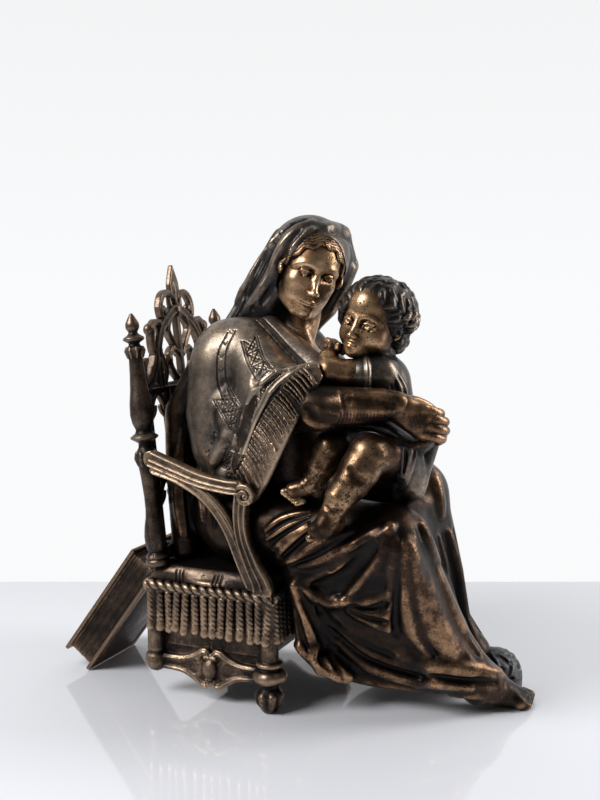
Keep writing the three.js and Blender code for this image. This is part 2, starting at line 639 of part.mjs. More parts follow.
// Folds seen in the picture: picture points, half width and height in millimetres, minus for a groove.
const FOLDS = [
  { along: [[390, 526], [374, 560], [357, 585], [341, 603]], width: 5, depth: 6 },
  { along: [[298, 587], [316, 598], [341, 603]], width: 5, depth: 6 },
  { along: [[341, 603], [366, 600], [388, 595]], width: 4, depth: 4 },
  { along: [[344, 606], [366, 618], [388, 630]], width: 4, depth: 4 },
  { along: [[398, 538], [393, 572], [392, 628]], width: 4, depth: -6 },
  { along: [[397, 530], [403, 569], [407, 609], [427, 654]], width: 6, depth: 5 },
  { along: [[410, 610], [431, 657]], width: 4, depth: -5 },
  { along: [[422, 522], [442, 572], [466, 628], [490, 664]], width: 4, depth: -4 },
  { along: [[440, 498], [444, 528], [440, 552]], width: 4, depth: 4 },
  { along: [[340, 637], [362, 650], [400, 667], [451, 680], [500, 674]], width: 6, depth: 6 },
  { along: [[348, 647], [374, 667], [411, 681], [480, 684]], width: 4, depth: -4 },
  { along: [[316, 608], [340, 634], [374, 646], [427, 657]], width: 5, depth: -6 },
  { along: [[293, 590], [298, 610], [295, 637], [302, 668]], width: 4, depth: 4 },
  { along: [[304, 600], [310, 630], [318, 662]], width: 4, depth: -6 },
  { along: [[314, 612], [325, 641], [331, 658], [342, 679]], width: 5, depth: 5 },
  { along: [[270, 530], [290, 515], [309, 515]], width: 4, depth: 4 },
  { along: [[281, 563], [294, 541], [312, 522]], width: 4, depth: 4 },
  { along: [[285, 557], [296, 545], [307, 534]], width: 3, depth: -4 },
  { along: [[284, 566], [316, 560], [348, 548], [374, 536]], width: 5, depth: 5 },
  { along: [[300, 576], [331, 572], [359, 554], [381, 536]], width: 4, depth: -5 },
];

function figureField(step) {
  const f = new Field([-75, -112, -6], [285, 100, 448], step);
  addMother(f);
  addSkirt(f);
  addShawl(f);
  addVeil(f);
  for (const { along, width, depth } of FOLDS) fold(f, along, width, depth);
  addFoot(f);
  addMotherArm(f);
  addChild(f);
  addHairAndHeads(f);
  f.cut(bounded([100, 0, -60], [-75, -112, -60], [285, 100, 0], 0, [[[0, 0, 0], [10, 0, 0], [0, 10, 0]]]));
  return f;
}

// Skin of the field: each grid cube is split into six tetrahedra, which always gives a closed surface.
function skinOf(field) {
  const corner = [0, 1, 2, 3, 4, 5, 6, 7].map((c) => [c & 1, (c >> 1) & 1, (c >> 2) & 1]);
  const tetrahedra = [[0, 1, 3, 7], [0, 3, 2, 7], [0, 2, 6, 7], [0, 6, 4, 7], [0, 4, 5, 7], [0, 5, 1, 7]];
  // The edges that a cut crosses, in order round it, as numbers of an inner and an outer corner
  const fourSided = [[0, 0], [0, 1], [1, 1], [1, 0]];
  const threeSided = [[0, 0], [1, 1], [2, 2]];
  const vertices = [];
  const faces = [];
  const made = new Map();
  const total = field.value.length;
  const place = (id) => {
    const k = id % field.n[2];
    const j = Math.floor(id / field.n[2]) % field.n[1];
    const i = Math.floor(id / (field.n[2] * field.n[1]));
    return [i, j, k].map((c, axis) => field.low[axis] + c * field.step);
  };
  const crossing = (a, b) => {
    const key = Math.min(a, b) * total + Math.max(a, b);
    if (!made.has(key)) {
      const t = THREE.MathUtils.clamp(field.value[a] / (field.value[a] - field.value[b]), 0.08, 0.92);
      const [p, q] = [place(a), place(b)];
      made.set(key, vertices.push(p.map((c, i) => mix(c, q[i], t))) - 1);
    }
    return made.get(key);
  };
  for (let i = 0; i < field.n[0] - 1; i++) {
    for (let j = 0; j < field.n[1] - 1; j++) {
      for (let k = 0; k < field.n[2] - 1; k++) {
        const ids = corner.map(([a, b, c]) => field.index(i + a, j + b, k + c));
        const within = ids.map((id) => field.value[id] < 0);
        if (within.every((w) => w === within[0])) continue;
        for (const cell of tetrahedra) {
          const ins = cell.filter((c) => within[c]).map((c) => ids[c]);
          const outs = cell.filter((c) => !within[c]).map((c) => ids[c]);
          if (ins.length === 0 || outs.length === 0) continue;
          const pairs = ins.length === 2 ? fourSided : threeSided;
          const loop = pairs.map(([a, b]) => crossing(ins[a % ins.length], outs[b % outs.length]));
          const centre = vec(place(ins[0])).sub(vec(place(outs[0])));
          const [p, q, r] = loop.map((v) => vec(vertices[v]));
          const turn = q.clone().sub(p).cross(r.sub(p));
          const flip = turn.dot(centre) > 0;
          for (let t = 1; t < loop.length - 1; t++) {
            faces.push(flip ? [loop[0], loop[t + 1], loop[t]] : [loop[0], loop[t], loop[t + 1]]);
          }
        }
      }
    }
  }
  return { vertices, faces };
}

// Thinning: short edges that matter least to the form are closed up, cheapest first.

class Queue {
  constructor() {
    this.items = [];
  }

  push(item) {
    const { items } = this;
    let at = items.push(item) - 1;
    while (at > 0) {
      const parent = (at - 1) >> 1;
      if (items[parent].cost <= items[at].cost) break;
      [items[parent], items[at]] = [items[at], items[parent]];
      at = parent;
    }
  }

  pop() {
    const { items } = this;
    const first = items[0];
    const last = items.pop();
    if (items.length === 0) return first;
    items[0] = last;
    let at = 0;
    while (true) {
      const child = [2 * at + 1, 2 * at + 2].filter((c) => c < items.length);
      if (child.length === 0) break;
      const least = child.length === 2 && items[child[1]].cost < items[child[0]].cost ? child[1] : child[0];
      if (items[least].cost >= items[at].cost) break;
      [items[least], items[at]] = [items[at], items[least]];
      at = least;
    }
    return first;
  }
}

const cross = (a, b) => [a[1] * b[2] - a[2] * b[1], a[2] * b[0] - a[0] * b[2], a[0] * b[1] - a[1] * b[0]];
const minus = (a, b) => [a[0] - b[0], a[1] - b[1], a[2] - b[2]];
const dot = (a, b) => a[0] * b[0] + a[1] * b[1] + a[2] * b[2];

// The squared distance to a set of planes, as the ten numbers of a symmetric 4 x 4 form.
function planeForm(p, q, r) {
  const n = cross(minus(q, p), minus(r, p));
  const area = Math.hypot(...n) || 1e-12;
  const [a, b, c] = n.map((x) => x / area);
  const d = -dot([a, b, c], p);
  return [a * a, a * b, a * c, a * d, b * b, b * c, b * d, c * c, c * d, d * d].map((x) => x * area);
}

const sumOf = (q, r) => q.map((x, i) => x + r[i]);

function errorAt(q, [x, y, z]) {
  return q[0] * x * x + 2 * q[1] * x * y + 2 * q[2] * x * z + 2 * q[3] * x + q[4] * y * y + 2 * q[5] * y * z
    + 2 * q[6] * y + q[7] * z * z + 2 * q[8] * z + q[9];
}

function bestPlace(q, a, b) {
  const middle = a.map((x, i) => (x + b[i]) / 2);
  const [row0, row1, row2] = [[q[0], q[1], q[2]], [q[1], q[4], q[5]], [q[2], q[5], q[7]]];
  const det = dot(row0, cross(row1, row2));
  const size = q[0] + q[4] + q[7];
  if (Math.abs(det) > 1e-4 * size ** 3) {
    const right = [-q[3], -q[6], -q[8]];
    // Cramer's rule by rows works here because the form is symmetric
    const rows = [[right, row1, row2], [row0, right, row2], [row0, row1, right]];
    const solved = rows.map(([a0, a1, a2]) => dot(a0, cross(a1, a2)) / det);
    if (Math.hypot(...minus(solved, middle)) < 2 * Math.hypot(...minus(a, b))) return solved;
  }
  return [middle, a, b].reduce((best, p) => (errorAt(q, p) < errorAt(q, best) ? p : best));
}

function thinned({ vertices, faces }, wanted) {
  const around = vertices.map(() => new Set());
  const forms = vertices.map(() => new Array(10).fill(0));
  const stamp = new Uint32Array(vertices.length);
  faces.forEach((face, id) => {
    const form = planeForm(...face.map((v) => vertices[v]));
    for (const v of face) {
      around[v].add(id);
      forms[v] = sumOf(forms[v], form);
    }
  });
  const queue = new Queue();
  const offer = (a, b) => {
    const form = sumOf(forms[a], forms[b]);
    const place = bestPlace(form, vertices[a], vertices[b]);
    const length = Math.hypot(...minus(vertices[a], vertices[b]));
    queue.push({ cost: errorAt(form, place) + 1e-4 * length, a, b, place, when: stamp[a] + stamp[b] });
  };
  const ring = (v) => new Set([...around[v]].flatMap((id) => faces[id]).filter((other) => other !== v));
  for (const face of faces) {
    face.forEach((a, i) => a < face[(i + 1) % 3] && offer(a, face[(i + 1) % 3]));
  }
  const keepsFacing = (v, other, place) => [...around[v]].every((id) => {
    const face = faces[id];
    if (face.includes(other)) return true;
    const old = face.map((w) => vertices[w]);
    const moved = face.map((w) => (w === v ? place : vertices[w]));
    const [n, m] = [old, moved].map(([p, q, r]) => cross(minus(q, p), minus(r, p)));
    const [ln, lm] = [Math.hypot(...n), Math.hypot(...m)];
    const edges = moved.map((p, i) => Math.hypot(...minus(p, moved[(i + 1) % 3])));
    return lm > 0.12 * Math.max(...edges) ** 2 * 0.5 && dot(n, m) > 0.35 * ln * lm;
  });
  let left = faces.length;
  const alive = vertices.map(() => true);
  while (left > wanted && queue.items.length > 0) {
    const { a, b, place, when } = queue.pop();
    if (!alive[a] || !alive[b] || stamp[a] + stamp[b] !== when) continue;
    const shared = [...around[a]].filter((id) => faces[id].includes(b));
    if (shared.length !== 2) continue;
    const ringB = ring(b);
    if ([...ring(a)].filter((v) => ringB.has(v)).length !== 2) continue;
    if (!keepsFacing(a, b, place) || !keepsFacing(b, a, place)) continue;
    for (const id of shared) {
      for (const v of faces[id]) around[v].delete(id);
      faces[id] = [];
    }
    for (const id of around[b]) {
      faces[id] = faces[id].map((v) => (v === b ? a : v));
      around[a].add(id);
    }
    alive[b] = false;
    vertices[a] = place;
    forms[a] = sumOf(forms[a], forms[b]);
    left -= 2;
    stamp[a] += 1;
    for (const v of ring(a)) offer(Math.min(a, v), Math.max(a, v));
  }
  return { vertices, faces: faces.filter((face) => face.length === 3) };
}

function solidFromSkin({ vertices, faces }) {
  const used = [...new Set(faces.flat())];
  const order = new Map(used.map((v, i) => [v, i]));
  const positions = new Float32Array(used.flatMap((v) => vertices[v]));
  const corners = new Uint32Array(faces.flat().map((v) => order.get(v)));
  return new wasm.Manifold(new wasm.Mesh({ numProp: 3, vertProperties: positions, triVerts: corners }));
}

const FIGURE = { step: 3.4, triangles: 3680 };

function figureSolid() {
  const skin = thinned(skinOf(figureField(FIGURE.step)), FIGURE.triangles);
  const pieces = solidFromSkin(skin).subtract(chairClearance()).decompose();
  return pieces.reduce((best, piece) => (piece.volume() > best.volume() ? piece : best));
}

// Book: two covers and a spine round a block of pages, leaning on the back of the chair.
function bookSolid() {
  const { length, width, thick, cover, inset, tilt } = BOOK;
  const parts = [
    block([0, 0, 0], [cover, width, length]),
    block([thick - cover, 0, 0], [thick, width, length]),
    block([0, width - cover, 0], [thick, width, length]),
    block([cover - 1, inset, inset], [thick - cover + 1, width - 1, length - inset]),
  ];
  const stand = [BOOK_EDGE.x - thick * Math.cos(tilt), BOOK_EDGE.nearY, thick * Math.sin(tilt)];
  return joined(parts.map((part) => solidOf(part.rotateY(tilt).translate(...stand))));
}

// Cushion under the hidden foot: a domed top over an upright rim
function cushionSolid(grow = 0) {
  const [halfX, halfY, top] = [CUSHION.halfX, CUSHION.halfY, CUSHION.top].map((size) => size + grow);
  const dome = [[0.95, 0], [1, 0.1], [1, 0.38], [0.93, 0.56], [0.8, 0.75], [0.6, 0.89], [0.3, 0.98]];
  const round = turned([...dome.map(([r, z]) => [r, z * top]), [0.1, top]], 14).scale(halfX, halfY, 1);
  return solidOf(round.translate(CUSHION.x, CUSHION.y, 0));
}

// Assembly

const BRONZE = { roughness: 0.42, metalness: 0.9 };

function piece(name, solid, color) {
  const mesh = new THREE.Mesh(geometryOf(solid), new THREE.MeshStandardMaterial({ color, ...BRONZE }));
  mesh.name = name;
  return mesh;
}

const statuette = new THREE.Group();
statuette.add(piece("chair", chairSolid(), 0x3a2a20));
statuette.add(piece("madonna_and_child", figureSolid(), 0x5a3b24));
statuette.add(piece("book", bookSolid(), 0x2c211b));
statuette.add(piece("footstool", cushionSolid(), 0x241d19));

// The origin goes to the middle of the footprint
const whole = new THREE.Box3().setFromObject(statuette);
const middle = whole.getCenter(new THREE.Vector3());
for (const mesh of statuette.children) mesh.geometry.translate(-middle.x, -middle.y, -whole.min.z);

export default statuette;
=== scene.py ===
import math

import bpy
import numpy as np
import openvdb
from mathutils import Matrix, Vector


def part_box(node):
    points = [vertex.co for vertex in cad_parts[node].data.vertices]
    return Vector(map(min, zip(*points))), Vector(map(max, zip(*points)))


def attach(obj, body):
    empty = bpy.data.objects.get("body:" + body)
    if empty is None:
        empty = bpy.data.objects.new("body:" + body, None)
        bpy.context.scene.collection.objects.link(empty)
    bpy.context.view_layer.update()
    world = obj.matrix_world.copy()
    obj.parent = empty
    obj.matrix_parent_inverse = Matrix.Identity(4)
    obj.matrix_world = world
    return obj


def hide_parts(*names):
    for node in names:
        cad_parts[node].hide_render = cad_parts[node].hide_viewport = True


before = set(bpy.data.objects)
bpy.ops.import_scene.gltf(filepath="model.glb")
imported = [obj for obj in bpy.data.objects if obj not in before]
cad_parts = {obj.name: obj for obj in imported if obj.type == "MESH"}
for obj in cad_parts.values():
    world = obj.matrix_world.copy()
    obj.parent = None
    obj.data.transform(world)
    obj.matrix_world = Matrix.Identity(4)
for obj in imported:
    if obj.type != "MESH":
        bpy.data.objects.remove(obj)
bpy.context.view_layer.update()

# The looks of a cast bronze group: a veiled mother in an openwork chair with her child on her lap, a book
# that leans on the chair and a cushion under her hidden foot. The forms are sculpted in millimetres, +Z up,
# +X the way the chair faces, counted from the middle of the seat, as distance fields on fine grids. Each
# field becomes one mesh, which is then moved to the frame's place and scaled to metres.

COARSE = 1.0

# Sizes of the chair, the book and the foot cushion
SEAT = {"half_depth": 58, "half_width": 79, "underside": 46, "top": 124}
TRIM = {"rope_z": 105, "rope_r": 3.4, "cord_top": 100.5, "cord_foot": 67, "out": 6}
LEAN = math.radians(6.2)
BACK_FOOT = (-55, 0, 124)
ARM = {"y": 85, "thick": 10}
PANEL = {"thick": 7, "half_width": 71, "shoulder": 190, "arch": 43}
BOOK = {"length": 134, "width": 85, "thick": 34, "cover": 4, "inset": 4, "tilt": math.radians(36.5)}
BOOK_EDGE = (-149.5, -58)
CUSHION = {"x": 226, "y": 63, "half": 27, "top": 37}

low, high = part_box("footstool")
MIDDLE = np.array([(low.x + high.x) * 500 - CUSHION["x"], (low.y + high.y) * 500 - CUSHION["y"], 0.0])

# Camera: the photograph's place, in the sculpting frame's millimetres, and its focal length in pixels
EYE = np.array([462.9, -934.0, 387.8])
AIM = np.array([54.05, -2.61, 271.9])
FOCAL = 1101.7
PICTURE = (600, 800)
NEAREST, FARTHEST = 700, 1350  # where a ray from the camera looks for the bronze


def placed(point):
    return Vector((np.array(point, float) + MIDDLE) / 1000)


def add_camera():
    data = bpy.data.cameras.new("camera")
    data.sensor_width = 36
    data.lens = FOCAL / PICTURE[1] * data.sensor_width
    data.clip_start = 0.05
    data.clip_end = 20
    camera = bpy.data.objects.new("camera", data)
    bpy.context.scene.collection.objects.link(camera)
    camera.location = placed(EYE)
    camera.rotation_euler = (placed(AIM) - placed(EYE)).to_track_quat("-Z", "Y").to_euler()
    bpy.context.scene.camera = camera


add_camera()


# Distance fields

FAR = 30.0  # the distance kept where nothing is near


def blend(a, b, k):
    """The smaller distance, with a fillet of width k where the two are close."""
    least = np.minimum(a, b)
    if k > 0:
        near = np.maximum(k - np.abs(a - b), 0)
        least = least - near * near / (4 * k)
    return least


class Form:
    """A shape: the box round it and the distance to its skin, minus inside. A group has parts instead."""

    def __init__(self, low, high, at=None, parts=None):
        self.low = np.array(low, float)
        self.high = np.array(high, float)
        self.at = at
        self.parts = parts


def group(forms):
    """Many shapes as one."""
    return Form(np.min([f.low for f in forms], 0), np.max([f.high for f in forms], 0), parts=forms)


def limb(a, b, ra, rb):
    """A rod with rounded ends, of radius ra at a and rb at b."""
    a, b = np.array(a, float), np.array(b, float)
    run = b - a
    length2 = float(run @ run) + 1e-9

    def at(x, y, z):
        t = ((x - a[0]) * run[0] + (y - a[1]) * run[1] + (z - a[2]) * run[2]) / length2
        t = np.clip(t, 0, 1)
        gap = (x - a[0] - t * run[0]) ** 2 + (y - a[1] - t * run[1]) ** 2 + (z - a[2] - t * run[2]) ** 2
        return np.sqrt(gap) - (ra + (rb - ra) * t)

    return Form(np.minimum(a - ra, b - rb), np.maximum(a + ra, b + rb), at)


def path(stations):
    """Limbs one after another through [x, y, z, radius] stations."""
    return group([limb(p[:3], q[:3], p[3], q[3]) for p, q in zip(stations, stations[1:])])


def blob(centre, radii, axes=np.eye(3)):
    """An egg shape with three radii along three axes."""
    centre, radii, axes = np.array(centre, float), np.array(radii, float), np.array(axes, float)

    def at(x, y, z):
        k0 = 0
        k1 = 0
        for axis, radius in zip(axes, radii):
            s = ((x - centre[0]) * axis[0] + (y - centre[1]) * axis[1] + (z - centre[2]) * axis[2]) / radius
            k0 = k0 + s * s
            k1 = k1 + (s / radius) ** 2
        k0 = np.sqrt(k0)
        return k0 * (k0 - 1) / np.sqrt(k1 + 1e-9)

    reach = np.sqrt(((axes * radii[:, None]) ** 2).sum(0))
    return Form(centre - reach, centre + reach, at)


def box(low, high, r):
    """A block with edges rounded by r."""
    low, high = np.array(low, float), np.array(high, float)
    middle, half = (low + high) / 2, (high - low) / 2 - r

    def at(x, y, z):
        q = [np.abs(c - middle[i]) - half[i] for i, c in enumerate((x, y, z))]
        outside = np.sqrt(sum(np.maximum(c, 0) ** 2 for c in q))
        return outside + np.minimum(np.maximum(np.maximum(q[0], q[1]), q[2]), 0) - r

    return Form(low, high, at)


def patch(a, b, c, r):
    """A triangle of cloth with rounded edges."""
    a, b, c = (np.array(p, float) for p in (a, b, c))
    normal = np.cross(b - a, a - c)

    def at(x, y, z):
        sides = 0
        least = None
        for p, q in ((a, b), (b, c), (c, a)):
            edge = q - p
            inward = np.cross(edge, normal)
            dx, dy, dz = x - p[0], y - p[1], z - p[2]
            sides = sides + np.sign(inward[0] * dx + inward[1] * dy + inward[2] * dz)
            t = np.clip((edge[0] * dx + edge[1] * dy + edge[2] * dz) / (edge @ edge), 0, 1)
            gap = (dx - edge[0] * t) ** 2 + (dy - edge[1] * t) ** 2 + (dz - edge[2] * t) ** 2
            least = gap if least is None else np.minimum(least, gap)
        flat = (normal[0] * (x - a[0]) + normal[1] * (y - a[1]) + normal[2] * (z - a[2])) ** 2
        flat = flat / (normal @ normal)
        return np.sqrt(np.where(np.abs(sides) > 1.5, flat, least)) - r

    corners = np.array([a, b, c])
    return Form(corners.min(0) - r, corners.max(0) + r, at)


def strip(upper, lower, r):
    """A strip of cloth between an upper and a lower edge, point by point."""
    parts = []
    for i in range(len(upper) - 1):
        parts.append(patch(upper[i], lower[i], upper[i + 1], r))
        parts.append(patch(lower[i], lower[i + 1], upper[i + 1], r))
    return group(parts)


def bounded(inside, low, high, k, triples):
    """The space behind planes, each through three points and facing away from a point inside."""
    planes = []
    for triple in triples:
        p, q, r = (np.array(c, float) for c in triple)
        normal = np.cross(q - p, r - p)
        normal /= np.linalg.norm(normal)
        if normal @ (np.array(inside, float) - p) > 0:
            normal = -normal
        planes.append((normal, -float(normal @ p)))

    def at(x, y, z):
        d = None
        for normal, constant in planes:
            here = normal[0] * x + normal[1] * y + normal[2] * z + constant
            d = here if d is None else -blend(-d, -here, k)
        return d

    return Form(low, high, at)


def turned(centre, profile):
    """A turned shape about Z from [radius, z] pairs."""
    profile = np.array(profile, float)
    radii, heights = profile[:, 0], profile[:, 1]
    slopes = np.gradient(radii, heights + np.arange(len(heights)) * 1e-4)

    def at(x, y, z):
        rho = np.sqrt((x - centre[0]) ** 2 + (y - centre[1]) ** 2)
        r = np.interp(z - centre[2], heights, radii)
        steep = np.sqrt(1 + np.clip(np.interp(z - centre[2], heights, slopes), -2, 2) ** 2)
        ends = np.maximum(heights[0] - (z - centre[2]), z - centre[2] - heights[-1])
        return np.maximum((rho - r) / steep, ends)

    reach = radii.max()
    return Form([centre[0] - reach, centre[1] - reach, centre[2] + heights[0]],
                [centre[0] + reach, centre[1] + reach, centre[2] + heights[-1]], at)


def ribbon(stations, across, middle, thick, soft):
    """A flat bar through [u, v, half width] stations; across is the axis of its thickness, 0 or 1."""
    parts = []
    stations = np.array(stations, float).tolist()
    for (u0, v0, r0), (u1, v1, r1) in zip(stations, stations[1:]):
        def at(x, y, z, u0=u0, v0=v0, r0=r0, u1=u1, v1=v1, r1=r1):
            u, w = (y, x) if across == 0 else (x, y)
            run = (u1 - u0, v1 - v0)
            t = np.clip(((u - u0) * run[0] + (z - v0) * run[1]) / (run[0] ** 2 + run[1] ** 2 + 1e-9), 0, 1)
            d = np.sqrt((u - u0 - t * run[0]) ** 2 + (z - v0 - t * run[1]) ** 2) - (r0 + (r1 - r0) * t)
            return -blend(-d, -(np.abs(w - middle) - thick / 2), soft)

        r = max(r0, r1)
        low_u, high_u = min(u0, u1) - r, max(u0, u1) + r
        ends = [(middle - thick / 2, middle + thick / 2), (low_u, high_u)]
        if across == 1:
            ends.reverse()
        low = [ends[0][0], ends[1][0], min(v0, v1) - r]
        high = [ends[0][1], ends[1][1], max(v0, v1) + r]
        parts.append(Form(low, high, at))
    return group(parts)


def twisted(a, b, r, strands, pitch, depth, start=0.0):
    """A cord from a to b whose strands wind round it."""
    a, b = np.array(a, float), np.array(b, float)
    length = np.linalg.norm(b - a)
    along = (b - a) / length
    side = np.cross(along, [0.3, 0.2, 1] if abs(along[2]) < 0.8 else [1, 0.2, 0])
    side /= np.linalg.norm(side)
    other = np.cross(along, side)

    def at(x, y, z):
        dx, dy, dz = x - a[0], y - a[1], z - a[2]
        s = dx * along[0] + dy * along[1] + dz * along[2]
        u = dx * side[0] + dy * side[1] + dz * side[2]
        v = dx * other[0] + dy * other[1] + dz * other[2]
        turn = np.abs(np.cos((np.arctan2(v, u) * strands + s * 2 * math.pi * strands / pitch + start) / 2))
        body = np.sqrt(u * u + v * v) - r + depth * (1 - turn) ** 2
        return np.maximum(body * 0.8, np.maximum(-s, s - length))

    return Form(np.minimum(a, b) - r, np.maximum(a, b) + r, at)


def curve(points, gap=4, count=None):
    """Points at even gaps along a smooth line through the given ones. Extra columns are carried along."""
    points = np.array(points, float)
    padded = np.vstack([2 * points[0] - points[1], points, 2 * points[-1] - points[-2]])
    t = np.linspace(0, 1, 13)[:-1, None]
    dense = []
    for p0, p1, p2, p3 in zip(padded, padded[1:], padded[2:], padded[3:]):
        dense.append(0.5 * (2 * p1 + (p2 - p0) * t + (2 * p0 - 5 * p1 + 4 * p2 - p3) * t ** 2
                            + (3 * p1 - p0 - 3 * p2 + p3) * t ** 3))
    dense = np.vstack(dense + [points[-1:]])
    width = min(points.shape[1], 3)
    run = np.concatenate([[0], np.cumsum(np.linalg.norm(np.diff(dense[:, :width], axis=0), axis=1))])
    if count is None:
        count = max(3, int(round(run[-1] / gap)) + 1)
    at = np.linspace(0, run[-1], count)
    return np.stack([np.interp(at, run, column) for column in dense.T], 1)


def sampled(values, base, share):
    """Values between the cells of a grid: base counts whole cells and share is the rest."""
    total = np.zeros(len(base))
    for corner in range(8):
        bits = np.array([corner & 1, corner >> 1 & 1, corner >> 2 & 1])
        i, j, k = (base + bits).T
        total += np.prod(np.where(bits, share, 1 - share), 1) * values[i, j, k]
    return total


class Field:
    """Distances on a grid in its own frame: origin and three axes, given in the sculpting frame."""

    def __init__(self, low, high, step, origin=(0, 0, 0), axes=np.eye(3)):
        self.step = step * COARSE
        self.low = np.array(low, float)
        self.n = np.ceil((np.array(high, float) - self.low) / self.step).astype(int) + 1
        self.value = np.full(self.n, FAR, np.float32)
        self.origin = np.array(origin, float)
        self.axes = np.array(axes, float)

    def window(self, low, high, margin):
        first = np.ceil((low - margin - self.low) / self.step).astype(int)
        last = np.floor((high + margin - self.low) / self.step).astype(int) + 1
        return [(max(0, a), max(0, min(n, b))) for a, b, n in zip(first, last, self.n)]

    def grid(self, window):
        lines = []
        for axis, (first, last) in enumerate(window):
            shape = [1, 1, 1]
            shape[axis] = -1
            line = self.low[axis] + self.step * np.arange(first, last)
            lines.append(line.astype(np.float32).reshape(shape))
        return lines

    def change(self, form, k, taking):
        margin = k + 2.5 * self.step
        window = self.window(form.low, form.high, margin)
        if any(last <= first for first, last in window):
            return self
        here = tuple(slice(first, last) for first, last in window)
        if form.parts is None:
            d = form.at(*self.grid(window)).astype(np.float32)
        else:
            d = np.full([last - first for first, last in window], FAR, np.float32)
            for part in form.parts:
                inner = self.window(part.low, part.high, margin)
                if any(last <= first for first, last in inner):
                    continue
                cells = tuple(slice(f - w[0], l - w[0]) for (f, l), w in zip(inner, window))
                d[cells] = np.minimum(d[cells], part.at(*self.grid(inner)))
        if taking:
            self.value[here] = -blend(-self.value[here], d, k)
        else:
            self.value[here] = blend(self.value[here], d, k)
        return self

    def add(self, form, k=0.0):
        return self.change(form, k, False)

    def cut(self, form, k=0.0):
        return self.change(form, k, True)

    def at(self, points):
        """Distances at points of the field's own frame."""
        p = (np.asarray(points, float) - self.low) / self.step
        base = np.floor(p).astype(int)
        inside = np.all((base >= 0) & (base < self.n - 1), 1)
        base = np.clip(base, 0, self.n - 2)
        return np.where(inside, sampled(self.value, base, p - base), FAR)

    def slope(self, points, reach=None):
        """The way out of the form at points, as unit vectors."""
        reach = reach or self.step
        points = np.asarray(points, float)
        g = np.stack([self.at(points + reach * e) - self.at(points - reach * e) for e in np.eye(3)], 1)
        return g / np.maximum(np.linalg.norm(g, axis=1, keepdims=True), 1e-6)

    def settled(self, points):
        """Points moved to the skin."""
        points = np.array(points, float)
        for _ in range(6):
            d = np.clip(self.at(points), -4, 4)
            points = points - self.slope(points) * d[:, None]
        return points

    def world(self, points):
        return self.origin + points @ self.axes

    def local(self, points):
        return (np.asarray(points, float) - self.origin) @ self.axes.T


def seen(field, pixels):
    """Where the camera's rays through picture points meet the field's skin; rows of nan where they miss."""
    back = (EYE - AIM) / np.linalg.norm(EYE - AIM)
    right = np.array([-back[1], back[0], 0]) / math.hypot(back[0], back[1])
    up = np.cross(back, right)
    found = []
    reach = np.arange(NEAREST, FARTHEST, 0.8)
    for u, v in pixels:
        ray = right * (u - PICTURE[0] / 2) / FOCAL + up * (PICTURE[1] / 2 - v) / FOCAL - back
        ray /= np.linalg.norm(ray)
        points = EYE + reach[:, None] * ray
        d = field.at(field.local(points))
        hit = np.argmax(d < 0)
        if d[hit] >= 0 or hit == 0:
            found.append([np.nan] * 3)
            continue
        share = d[hit - 1] / (d[hit - 1] - d[hit])
        found.append(field.local(points[hit - 1] + (points[hit] - points[hit - 1]) * share))
    return np.array(found)


def stroke(field, points, width, depth, even=False, soft=1.0):
    """A rounded ridge along points on the skin, or a groove when depth is minus, fading at both ends."""
    points = np.asarray(points, float)
    keep = ~np.isnan(points).any(1)
    points = points[keep]
    if len(points) < 3:
        return
    jump = np.linalg.norm(np.diff(points, axis=0), axis=1)
    usual = np.median(jump)
    breaks = np.flatnonzero(jump > max(4 * usual, 8))
    for run in np.split(np.arange(len(points)), breaks + 1):
        if len(run) < 3:
            continue
        p = points[run]
        count = len(p) - 1
        i = np.arange(count + 1)
        swell = np.sqrt(np.minimum(1, 4 * np.minimum(i + 0.6, count - i + 0.6) / max(count, 1)))
        if even:
            swell = np.ones(count + 1)
        lift = depth * swell - math.copysign(1, depth) * width * swell
        centres = p + field.slope(p, max(1.0, field.step)) * lift[:, None]
        stations = np.column_stack([centres, width * swell])
        if depth > 0:
            field.add(path(stations), width * 1.3 * soft)
        else:
            field.cut(path(stations), width * 1.1 * soft)


def fold(field, pixels, width, depth, **options):
    """A stroke along a line of picture points."""
    stroke(field, seen(field, curve(pixels)), width, depth, **options)


def crease(field, points, width, depth, gap=4, **options):
    """A stroke along a line of places near the skin."""
    stroke(field, field.settled(field.local(curve(points, gap))), width, depth, **options)


def between(first, second, share):
    return [[p + (q - p) * share for p, q in zip(a, b)] for a, b in zip(first, second)]


def shifted(line, along, down):
    """A line of picture points, moved."""
    return [[u + along, v + down] for u, v in line]


def mirror(side, stations):
    """Stations [x, y, ...] with y to the left, or to the right when side is minus."""
    return [[x, side * y, *rest] for x, y, *rest in stations]


# What all pieces fill together, on a coarse grid: it tells how open or sheltered each place is

